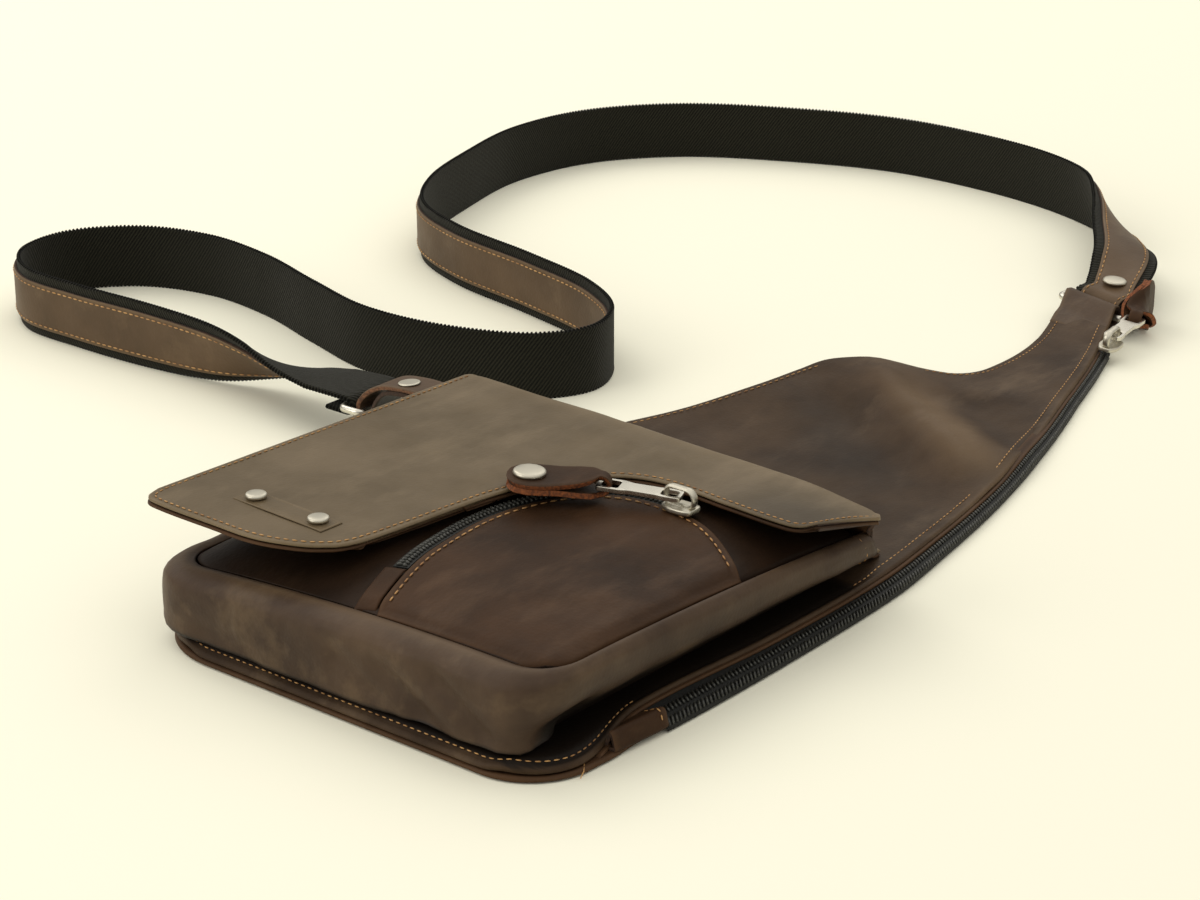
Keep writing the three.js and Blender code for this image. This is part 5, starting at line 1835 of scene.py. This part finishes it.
@dataclass
class SideZip:
    """The long zip up the right side, with a folded leather tab over its lower end."""

    panels: Panels
    start: float = 64.0
    end: float = 488.0
    thickness: float = 1.2
    under: float = 3.0
    outset: float = 0.3
    pitch: float = 2.1
    # Share across the tape, share of the way down: it arches over to the back panel's edge
    arch: tuple[tuple[float, float], ...] = (
        (0, 0), (0.4, 0.1), (0.55, 0.12), (0.72, 0.22), (0.88, 0.42), (0.96, 0.7), (1, 1))
    rows: tuple[float, float] = (0.6, 0.89)
    row_reach: float = 0.15
    slant: float = 0.5
    edge_height: float = 0.5
    tab: tuple[float, float, float] = (38.0, 64.4, 10.0)
    # Section of the folded tab: distance inside the bag's edge, height
    tab_fold: tuple[tuple[float, float], ...] = (
        (1.6, 1.5), (0.7, 1.6), (0.15, 2.1), (0.0, 3.0), (1.2, 7.4), (1.6, 8.2), (2.3, 8.8), (3.2, 9.0))
    tab_inset: float = 1.2

    def __post_init__(self) -> None:
        """Reads the arch of the tape."""
        self.fall = Column(*zip(*self.arch))

    def at(self, y: float, across: float, lift: float = 0.0) -> Vector:
        """Gives a point of the tape's upper face.

        Args:
            y: The station up the bag.
            across: The share of the way from the front panel to the back panel.
            lift: The height above the tape.

        Returns:
            The point.
        """
        p = self.panels
        x = mix(p.zip_edge(y) - self.under, p.right_edge(y) - self.outset, across)
        inner_z = p.front_top(p.zip_edge(y), y) - LEATHER - 0.2
        return Vector((x, p.skewed(x, y), mix(inner_z, self.edge_height, self.fall(across)) + lift))

    def build_tape(self) -> None:
        """Builds the tape and its two rows of coil."""
        ys = spaced(self.start, self.end, 170)
        bm = lay_sheet(lambda t, y: self.at(y, t), spaced(0.0, 1.0, 20), ys)
        thicken(deliver(bm, "side_zip_tape", [TAPE], Slot.ZIP_TAPE, ["side_zip"]), 0.5)
        bm = bmesh.new()
        route = Route([self.at(y, 0.66) for y in ys])
        count = int(route.length / self.pitch)
        for i in range(count):
            for side, share in zip((-1, 1), self.rows):
                along = (i + 0.5 + 0.25 * side) / count
                y = mix(self.start, self.end, along)
                across = self.at(y, share + 0.12) - self.at(y, share - 0.12)
                tooth = (across.normalized() - route.tangent(along) * self.slant).normalized()
                up = tooth.cross(route.tangent(along)).normalized()
                turn = Matrix((tooth.cross(up), tooth, up)).transposed().to_4x4()
                width = (self.at(y, 1.0) - self.at(y, 0.0)).length * self.row_reach
                place = Matrix.Translation(row(self.at(y, share) + up * 0.4))
                bead(bm, place @ turn, (0.55, width, 0.8))
        deliver(bm, "side_zip_coil", [COIL], Slot.ZIP_TAPE)

    def build_tab(self) -> None:
        """Builds the leather tab that is folded over the zip's lower end."""
        start, end, width = self.tab
        p = self.panels

        def at(t: float, y: float) -> Vector:
            """Gives a point of the folded tab's outer face, from its lower layer round to its upper one.

            Args:
                t: The share of the way round.
                y: The place up the bag.

            Returns:
                The point.
            """
            right = p.right_edge(y) - self.outset
            left = max(right - width, p.zip_edge(y) - self.tab_inset)
            fold = [Vector((right - inset, y, z)) for inset, z in self.tab_fold]
            tucked = p.front_top(p.zip_edge(y), y) - 1.4
            return Route([Vector((left, y, fold[0].z)), *fold, Vector((left, y, tucked))]).at(t)

        relief = Relief(roll=0.3, wave=0.2)
        bm = lay_sheet(at, spaced(1.0, 0.0, 40), spaced(start, end, 22), relief, edge_rub(0.3))
        deliver_leather(bm, "zip_end_tab", [DARK, EDGE], Slot.LEATHER, 1.3, 0.35)
        line = [at(t, end - 3.2) + Vector((0.15, 0, 0.1)) for t in spaced(0.5, 0.97, 16)]
        seam = Stitching(pitch=2.8, length=2.3, width=0.7)
        seam.build("zip_end_tab_stitches", line, lambda point: Vector((0.7, 0.0, 0.7)))

    def build(self) -> None:
        """Builds the zip."""
        self.build_tape()
        self.build_tab()


@dataclass
class Pull:
    """A zip slider with a hinged metal pull and a folded leather puller on it."""

    name: str
    body: Body
    joint: str
    zip_yaw: float
    yaw: float
    pitch: float
    swing: float
    twist: float
    riveted: bool
    roll: float
    slider: tuple[float, float] = (14.0, 9.6)
    # Height of the hinge above the slider's foot
    bail_centre: float = 5.15
    # The bail's arch: length, height, corner, thickness, and how much wider than thick its band is
    crown: tuple[float, float, float, float] = (14.6, 8.6, 3.2, 1.6)
    band: float = 2.1
    body_height: float = 2.0
    length: float = 32.0
    thickness: float = 1.8
    eye: tuple[float, float, float, float] = (8.4, 6.4, 1.4, 5.4)
    shaft: float = 7.4
    end: tuple[float, float, float, float] = (9.4, 6.4, 6.6, 2.0)
    layer: float = 2.0
    loop: float = 3.3
    # Distance from the bar, width, height of a layer above the middle, share of the twist
    puller: tuple[tuple[float, ...], ...] = (
        (0, 6.0, 3.3, 0), (3, 13, 3, 0.1), (8, 17, 2.2, 0.45), (15, 19, 1.4, 0.85), (20, 21, 1.15, 1),
        (26, 21.6, 1.15, 1), (31, 17.4, 1.15, 1), (33.4, 11, 1.15, 1), (34.4, 4.4, 1.15, 1),
    )
    rivet: tuple[float, float] = (6.2, 2.0)
    rivet_row: int = 5

    def __post_init__(self) -> None:
        """Finds the pivot and the pull's place."""
        joint = next(j for j in frame["joints"] if j["name"] == self.joint)
        self.pivot = Vector(joint["pos_m"]) / MM - ORIGIN
        self.place = (
            Matrix.Translation(self.pivot) @ turn_by(self.yaw, "Z") @ turn_by(-self.pitch, "Y")
            @ turn_by(self.roll, "X"))
        self.end_x = self.length - self.eye[2] / 2
        self.bar_x = self.end_x - self.end[3] / 2

    def build_slider(self) -> None:
        """Builds the slider's body and its bail."""
        x, y = self.slider[0] / 2, self.slider[1] / 2
        shield = [(-x, -0.62 * y), (-0.35 * x, -y), (0.5 * x, -y), (x, -0.8 * y), (x, 0.8 * y), (0.5 * x, y),
                  (-0.35 * x, y), (-x, 0.62 * y)]
        bm = bmesh.new()
        cut_plate(bm, rounded(shield, 1.6), [], self.body_height, 0.6, 3)
        arch = wire_frame(*self.crown, 12)
        bmesh.ops.rotate(arch, verts=arch.verts, cent=(0, 0, 0), matrix=Matrix.Rotation(math.pi / 2, 3, "X"))
        bmesh.ops.scale(arch, verts=arch.verts, vec=(1.0, self.band, 1.0))
        bmesh.ops.translate(arch, verts=arch.verts, vec=(0.0, 0.0, self.bail_centre))
        mesh = bpy.data.meshes.new("bail")
        arch.to_mesh(mesh)
        arch.free()
        bm.from_mesh(mesh)
        bpy.data.meshes.remove(mesh)
        turn = turn_by(self.zip_yaw, "Z") @ turn_by(self.roll, "X")
        foot = Matrix.Translation((0.0, 0.0, -self.bail_centre))
        set_down(bm, Matrix.Translation(self.pivot) @ turn @ foot)
        node = f"{self.name}_slider"
        flatten(deliver(bm, f"{node}_casting", [SATIN_NICKEL], Slot.NICKEL, [node]))

    def build_tab(self) -> None:
        """Builds the metal pull with its eye and its slot."""
        eye_width, eye_length, eye_bar, eye_gap = self.eye
        end_width, slot_length, slot_width, end_bar = self.end
        eye, shaft, end = eye_width / 2, self.shaft / 2, end_width / 2
        start = -eye_bar / 2
        neck = start + eye_length + 2 * eye_bar
        shoulder = self.end_x - slot_length - end_bar
        side = [
            (start, eye - 1.0), (start + 1.0, eye), (neck - 3.0, eye), (neck, shaft),
            (shoulder - 4.0, shaft), (shoulder - 1.0, end), (self.end_x - 1.0, end), (self.end_x, end - 1.0)]
        outline = rounded([*side, *((x, -y) for x, y in reversed(side))], 1.0, 3)
        # Length, width, corner and middle of the eye and of the slot
        cuts = (
            (eye_length, eye_gap, 1.6, start + eye_bar + eye_length / 2),
            (slot_length, slot_width, 1.2, self.end_x - end_bar - slot_length / 2))
        holes = [
            [p + Vector((middle, 0.0, 0.0)) for p in rounded(rectangle(length, width), corner)]
            for length, width, corner, middle in cuts]
        bm = bmesh.new()
        cut_plate(bm, outline, holes, self.thickness, 0.22)
        set_down(bm, self.place @ Matrix.Translation((0.0, 0.0, -self.thickness / 2)))
        nodes = [f"{self.name}_pull_tab"]
        flatten(deliver(bm, f"{self.name}_pull_plate", [NICKEL], Slot.NICKEL, nodes, self.body))

    def strip(self) -> list[Station]:
        """Gives the stations of the leather strip from its upper end round the bar to its lower end.

        Returns:
            The stations in the bag's frame.
        """
        made = []

        def station(x: float, z: float, normal: Vector, width: float, turn: float) -> None:
            """Adds a station with its share of the twist.

            Args:
                x: The distance from the bar.
                z: The height above the pull's middle.
                normal: The face's normal before the twist.
                width: The strip's width.
                turn: The share of the twist.
            """
            spin = Matrix.Rotation(math.radians(self.twist) * turn, 3, "X")
            swing = Matrix.Rotation(math.radians(self.swing), 3, "Z")
            to_bag = self.place @ Matrix.Translation((self.bar_x, 0.0, 0.0))
            centre = to_bag @ (swing @ (spin @ Vector((x, 0.0, z))))
            turned = to_bag.to_3x3() @ swing @ spin
            made.append(Station(centre, turned @ Vector((0, 1, 0)), turned @ normal, width))

        for along, width, half, turn in reversed(self.puller):
            station(along, half, UP, width, turn)
        for angle in spaced(0.0, math.pi, 8)[1:-1]:
            normal = Vector((-math.sin(angle), 0.0, math.cos(angle)))
            station(normal.x * self.loop, normal.z * self.loop, normal, self.puller[0][1], 0.0)
        for along, width, half, turn in self.puller:
            station(along, -half, -UP, width, turn)
        return made

    def build_puller(self) -> None:
        """Builds the leather puller and its rivet."""
        stations = refine(self.strip(), 0.9)
        bm = lay_band(stations, 18, self.layer, Relief(roll=0.35, wave=0.25, wave_mm=9.0), edge_rub(0.15))
        node = f"{self.name}_puller"
        deliver_leather(bm, node, [DARK, RAW_EDGE], Slot.LEATHER, self.layer, 0.3, self.body)
        if self.riveted:
            along, _, half, _ = self.puller[self.rivet_row]
            swing = Matrix.Translation((self.bar_x, 0, 0)) @ turn_by(self.swing, "Z")
            foot = swing @ Matrix.Translation((along, 0, half + self.layer / 2))
            build_rivet(f"{node}_rivet", self.rivet, self.place @ foot, self.body)

    def build(self) -> None:
        """Builds the slider and its pull."""
        self.build_slider()
        self.build_tab()
        self.build_puller()


@dataclass
class Ring:
    """A flat wire frame that takes the strap on one bar and leather on the other."""

    node: str
    centre: tuple[float, float, float]
    yaw: float
    tilt: float
    length: float = 39.0
    depth: float = 14.0
    wire: float = 3.2
    corner: float = 2.6

    def __post_init__(self) -> None:
        """Works out the ring's directions."""
        self.turn = turn_by(self.yaw, "Z") @ turn_by(self.tilt, "Y")
        self.along, self.across, self.up = (self.turn.to_3x3() @ axis for axis in Matrix.Identity(3))

    def bar(self, side: int) -> Vector:
        """Gives the middle of the bar on one side."""
        return Vector(self.centre) + self.across * (side * (self.depth - self.wire) / 2)

    def wrap(
        self, side: int, width: float, thickness: float, over: Sequence[float], under: Sequence[float]
    ) -> list[Station]:
        """Gives the stations of a band that comes in over a bar, turns round it and goes back under it.

        Args:
            side: The bar's side.
            width: The band's width.
            thickness: Its thickness.
            over: Distances of its stations from the bar as it comes in.
            under: Distances of its stations as it goes back.

        Returns:
            The stations.
        """
        bar, away = self.bar(side), self.across * side
        radius = self.wire / 2 + SEAT + thickness / 2

        def leg(distance: float, face: int) -> Station:
            """Gives a station of one leg."""
            centre = bar + away * distance + self.up * (face * radius)
            return Station(centre, self.along.copy(), self.up * face, width)

        bend = []
        for angle in spaced(0.0, math.pi, 10):
            normal = self.up * math.cos(angle) - away * math.sin(angle)
            bend.append(Station(bar + normal * radius, self.along.copy(), normal, width))
        return [*(leg(d, 1) for d in over), *bend, *(leg(d, -1) for d in under)]

    def build(self) -> None:
        """Builds the wire frame."""
        bm = wire_frame(self.length, self.depth, self.corner, self.wire)
        set_down(bm, Matrix.Translation(self.centre) @ self.turn)
        deliver(bm, f"{self.node}_wire", [NICKEL], Slot.NICKEL, [self.node])


@dataclass
class Fittings:
    """The strap's two rings, with the leather that holds them to the bag."""

    panels: Panels
    lower: Ring = field(default_factory=lambda: Ring("lower_ring", (-166.0, 202.5, 17.5), 90.0, 0.0))
    upper: Ring = field(default_factory=lambda: Ring("upper_ring", (-9.6, 525.4, 8.4), -6.0, 5.5))
    # Route of the lower tab from the bag's edge round the ring, its height counted from its root
    tab: tuple[tuple[float, float, float], ...] = (
        (-89.5, 203, 0), (-95, 202, 1.2), (-101, 200.5, 6.5), (-109, 198.5, 15.5), (-120, 196.5, 22),
        (-131, 195.5, 23.8), (-140, 195, 23.8), (-151, 195, 22), (-159, 195, 17.6), (-163.6, 195, 12.2),
        (-163.4, 195, 7.8), (-160.4, 195, 5.4), (-157, 195, 8), (-154, 195, 14.4), (-149, 195, 19.6),
        (-141, 195, 21.5), (-132, 195.5, 21.5),
    )
    tab_width: float = 17.0
    tab_thickness: float = 2.0
    tab_rivet_row: int = 6
    rivet_aside: float = 1.6
    rivet: tuple[float, float] = (4.7, 0.8)
    loop_width: float = 29.0
    # Place up the panel, height above it: the loop is the panel's end, turned over the ring
    loop_root: tuple[tuple[float, float], ...] = ((494, -0.9), (501, -0.2), (507, 0.4))
    loop_round: float = 5.6

    def build_tab(self) -> None:
        """Builds the leather tab of the lower ring and its rivet."""
        root = Vector(self.tab[0])
        floor = self.panels.front_top(root.x, root.y) + SEAT + self.tab_thickness / 2
        points = [Vector((x, y, z + floor)) for x, y, z in self.tab]
        along = self.lower.along
        stations = []
        for i, point in enumerate(points):
            ahead = points[min(i + 1, len(points) - 1)] - points[max(i - 1, 0)]
            stations.append(Station(point, along.copy(), along.cross(ahead).normalized(), self.tab_width))
        upper = sorted((p.x, p.z) for p in points[:9])
        crest = Column(*zip(*upper))

        def tab_wear_and_shade(point: Vector, rim: float) -> float:
            """Gives the tab's wear and painted shade: rubbed along its edges, painted shade near black in
            the hollow behind the ring.
            """
            # Painted shade in the hollow under the tab behind the ring
            hollow = ease(crest(point.x) - 0.9 - point.z) * ramp(point.x, -164.5, 3.0)
            return 0.2 * bell(rim, 1.6) - 0.98 * hollow

        relief = Relief(roll=0.35, wave=0.2, wave_mm=14.0)
        bm = lay_band(refine(stations, 1.6), 20, self.tab_thickness, relief, tab_wear_and_shade)
        deliver_leather(bm, "lower_tab", [BROWN, TAN_EDGE], Slot.LEATHER, self.tab_thickness, 0.4)
        seat = stations[self.tab_rivet_row]
        place = seat.centre - along * self.rivet_aside + seat.normal * (self.tab_thickness / 2 + 0.05)
        build_rivet("lower_tab_rivet", self.rivet, facing(place, seat.normal))

    def build_loop(self) -> None:
        """Builds the leather loop of the upper ring."""
        p, stations = self.panels, []
        for y, lift in self.loop_root:
            x = (p.left_edge(y) + p.zip_edge(y)) / 2
            centre = Vector((x, p.skewed(x, y), p.front_top(x, y) + lift - LEATHER / 2))
            width = p.zip_edge(y) - p.left_edge(y) - 2.0
            stations.append(Station(centre, self.upper.along.copy(), UP, width))
        stations += self.upper.wrap(-1, self.loop_width, self.loop_round, [], [3.0])
        relief = Relief(roll=0.6, wave=0.4, wave_mm=12.0)
        bm = lay_band(refine(stations, 1.4), 24, LEATHER, relief, edge_rub(0.3))
        deliver_leather(bm, "top_loop", [BROWN, EDGE], Slot.LEATHER, LEATHER)

    def build(self) -> None:
        """Builds the rings and their leather."""
        self.lower.build()
        self.upper.build()
        self.build_tab()
        self.build_loop()


@dataclass
class Strap:
    """The strap: cotton webbing from ring to ring, with a narrower strip of leather sewn on one face."""

    fittings: Fittings
    width: float = 30.0
    thickness: float = 2.2
    overlay_width: float = 22.0
    overlay_thickness: float = 1.4
    stand: float = 15.03
    steps: int = 612
    overlay_step: int = 24
    overlay_turn: int = 6
    leg: float = 5.0
    tail: float = 12.0
    settle: float = 30.0
    seam: float = 1.9
    selvedge: float = 1.9
    selvedge_yarn: tuple[float, float, float] = (1.25, 1.25, 0.8)
    rivet: tuple[float, float] = (5.7, 1.7)
    # x, y, height above a stand on edge, roll: 0 stands on edge, 90 lies with the leather up
    route: tuple[tuple[float, float, float, float], ...] = (
        (-195, 203, 4.57, -88), (-216.5, 205, 3.17, -74), (-240, 206, 1.57, -46), (-270, 202.5, 0.6, -14),
        (-310, 200, 0.15, 0), (-352, 198.5, 0, 0), (-390, 201, 0, 0), (-413, 219, 0, 0), (-417, 250, 0, 0),
        (-397, 277, 0, 0), (-361, 289, 0, 0), (-318, 285, 0, 0), (-272, 271, 0, 0), (-228, 259.5, 0, 0),
        (-184, 263, 0, 0), (-147, 280, 0, 0), (-134, 304, 0, 0), (-144, 330, 0, 0), (-174, 351, 0, 0),
        (-222, 365, 0, 0), (-280, 377.5, 0, 0), (-320, 397, 0, 0), (-345, 430, 0, 0), (-362, 476, 0, 0),
        (-374, 530, 0, 0), (-366, 582, 0, 0), (-334, 625, 0, 0), (-282, 655, 0, 0), (-226, 674.5, 0, 0),
        (-172, 676, 0, 0), (-126, 668, 0.15, 1), (-92, 653, 0.3, 8), (-63.7, 625.7, 2.2, 32),
        (-40.7, 597.3, 4.4, 60), (-20.0, 567.6, 4.4, 79), (-10.2, 541.0, -2.2, 84.5),
    )

    def stations(self) -> list[Station]:
        """Gives the stations of the strap between its rings.

        Returns:
            The stations from the lower ring to the upper one.
        """
        points = [Vector((x, y, self.stand + z)) for x, y, z, _ in self.route]
        roll = Column(range(len(points)), [r for *_, r in self.route])
        last = len(points) - 1
        made = []
        for at in spaced(0.0, last, self.steps):
            ahead, behind = (centripetal(points, min(max(at + d, 0), last)) for d in (0.01, -0.01))
            heading = (ahead - behind).normalized()
            left = Vector((-heading.y, heading.x, 0.0)).normalized()
            angle = math.radians(roll(at))
            normal = left * math.cos(angle) + UP * math.sin(angle)
            across = normal.cross(heading).normalized()
            made.append(Station(centripetal(points, at), across, normal, self.width))
        bar = self.fittings.upper.along
        for s in made:
            near = ease(1 - (made[-1].centre - s.centre).length / self.settle)
            s.across = s.across.lerp(math.copysign(1.0, bar.dot(s.across)) * bar, near).normalized()
        return made

    def build_webbing(self, run: list[Station]) -> None:
        """Builds the webbing along the stations between the rings.

        Args:
            run: The stations.
        """
        wrap = [[self.leg], [4.0, self.tail]]
        start = list(reversed(self.fittings.lower.wrap(1, self.width, self.thickness, *wrap)))
        start = [Station(s.centre, s.across, -s.normal, s.width) for s in start]
        end = self.fittings.upper.wrap(1, self.width, self.thickness, *wrap)
        whole = [*refine([*start, run[0]], 2.2)[:-1], *run, *refine([run[-1], *end], 2.2)[1:]]
        bm = lay_band(whole, 14, self.thickness, Relief(roll=0.15, wave=0.0))
        piece = deliver(bm, "strap_cotton_webbing", [COTTON, COTTON], Slot.WEBBING, ["strap_webbing"])
        thicken(piece, self.thickness, 0.5)
        bm = bmesh.new()
        for side in (-1, 1):
            edge = Route([s.centre + s.across * (side * (self.width / 2 - 0.35)) for s in whole])
            count = int(edge.length / self.selvedge)
            for i in range(count):
                share = (i + 0.5) / count
                bead(bm, facing(row(edge.at(share)), edge.tangent(share)), self.selvedge_yarn)
        edges = deliver(bm, "strap_selvedge", [COTTON], Slot.WEBBING)
        length = Route([s.centre for s in whole]).length * MM
        LOG.info("strap webbing: %.3f m", length)

    def build_overlay(self, run: list[Station]) -> None:
        """Builds the leather strip on the webbing, its stitches and the rivet at its upper end.

        Args:
            run: The stations between the rings.
        """
        lift = self.thickness / 2 + SEAT + self.overlay_thickness / 2
        width = self.overlay_width
        face = [
            Station(s.centre + s.normal * lift, s.across, s.normal, width) for s in run[self.overlay_step:]]
        outside = 2 * (self.thickness + SEAT) + self.overlay_thickness
        turn = self.fittings.upper.wrap(1, width, outside, [self.leg], [])
        face += refine([face[-1], *turn[:self.overlay_turn]], 1.6)[1:]
        relief = Relief(channel=self.seam, depth=0.25, roll=0.35, wave=0.12, wave_mm=18.0)
        bm = lay_band(face, 16, self.overlay_thickness, relief, lambda p, rim: 0.22 + 0.3 * bell(rim, 1.6))
        deliver_leather(bm, "strap_overlay", [BROWN, EDGE], Slot.LEATHER, self.overlay_thickness, 0.4)
        bm = bmesh.new()
        out = self.overlay_thickness / 2 + 0.05
        for side in (-1, 1):
            aside = side * (width / 2 - self.seam)
            near = [s.centre + s.normal * out + s.across * aside for s in face]
            tree = kdtree.KDTree(len(near))
            for i, point in enumerate(near):
                tree.insert(point, i)
            tree.balance()
            Stitching(pitch=3.6, length=2.8, width=0.7).sew(bm, near, lambda p: face[tree.find(p)[1]].normal)
        deliver(bm, "strap_stitches", [THREAD], Slot.LEATHER)
        seat = run[-1]
        build_rivet("strap_rivet", self.rivet, facing(seat.centre + seat.normal * (lift + out), seat.normal))

    def build(self) -> None:
        """Builds the strap."""
        run = self.stations()
        self.build_webbing(run)
        self.build_overlay(run)


@dataclass
class Studio:
    """Pale paper, soft light from above and the camera at the photograph's angle."""

    camera: tuple[float, float, float] = (659.2, -652.6, 461.0)
    pitch: float = 21.5
    azimuth: float = 39.5
    lens: float = 90.0
    floor_size: float = 9.0
    floor_drop: float = 0.0003
    sky: str = "#fffcf4"
    # Strength of the sky overhead and at the horizon
    sky_strength: tuple[float, float] = (1.14, 0.24)
    # Name, place in metres, size, power, tint
    lights: tuple[tuple[str, tuple[float, float, float], float, float, str], ...] = (
        ("key", (-1.7, 0.1, 1.7), 1.6, 9.0, "#fffaf0"),
        ("back", (-0.6, 1.8, 1.6), 1.6, 5.0, "#fffaf0"),
        ("fill", (-0.9, -1.9, 1.0), 1.6, 12.0, "#fffaf0"),
    )

    def build_floor(self) -> None:
        """Builds the paper that the bag lies on."""
        bm = bmesh.new()
        bmesh.ops.create_grid(bm, x_segments=1, y_segments=1, size=self.floor_size / 2)
        bmesh.ops.translate(bm, verts=bm.verts, vec=(0.0, 0.0, -self.floor_drop))
        mesh = bpy.data.meshes.new("paper_floor")
        bm.to_mesh(mesh)
        bm.free()
        mesh.materials.append(PAPER.material())
        floor = bpy.data.objects.new("paper_floor", mesh)
        bpy.context.scene.collection.objects.link(floor)

    def build_lights(self) -> None:
        """Builds the soft lights and the sky round them."""
        for name, place, size, power, tint in self.lights:
            light = bpy.data.lights.new(name, "AREA")
            light.shape = "DISK"
            light.size = size
            light.energy = power
            light.color = linear(tint)[:3]
            lamp = bpy.data.objects.new(name, light)
            lamp.location = place
            lamp.rotation_euler = (-Vector(place)).to_track_quat("-Z", "Y").to_euler()
            bpy.context.scene.collection.objects.link(lamp)
        world = bpy.data.worlds.new("studio")
        world.use_nodes = True
        dome = Surface(world.node_tree)
        dome.shader = world.node_tree.nodes["Background"]
        ray = dome.add("ShaderNodeNewGeometry").outputs["Incoming"]
        height = dome.add("ShaderNodeSeparateXYZ", inputs={"Vector": ray}).outputs["Z"]
        strength = dome.spread(height, -1.0, 0.0, self.sky_strength)
        dome.feed({"Color": linear(self.sky), "Strength": strength})
        bpy.context.scene.world = world
        bpy.context.scene.view_settings.view_transform = "Standard"

    def build_camera(self) -> None:
        """Builds the camera."""
        data = bpy.data.cameras.new("camera")
        data.lens = self.lens
        data.sensor_width = 36.0
        camera = bpy.data.objects.new("camera", data)
        camera.location = row(Vector(self.camera))
        camera.rotation_euler = (math.radians(90 - self.pitch), 0.0, math.radians(self.azimuth))
        bpy.context.scene.collection.objects.link(camera)
        bpy.context.scene.camera = camera

    def build(self) -> None:
        """Builds the studio."""
        self.build_floor()
        self.build_lights()
        self.build_camera()


def main() -> None:
    """Builds the studio and every sub-assembly of the bag."""
    logging.basicConfig(level=logging.INFO, format="%(name)s: %(message)s")
    Studio().build()
    panels = Panels()
    fittings = Fittings(panels)
    fittings.build()
    Strap(fittings).build()
    panels.build()
    Pocket(panels).build()
    Flap(panels).build()
    SideZip(panels).build()
    Pull("front", Body.FRONT_PULL, "front_pull_hinge", 0.0, 202.0, 2.6, 14.0, 0.0, True, 0.0).build()
    Pull("side", Body.SIDE_PULL, "side_pull_hinge", 99.0, 99.0, -0.5, 10.0, 84.0, False, 6.0).build()


if __name__ == "__main__":
    main()
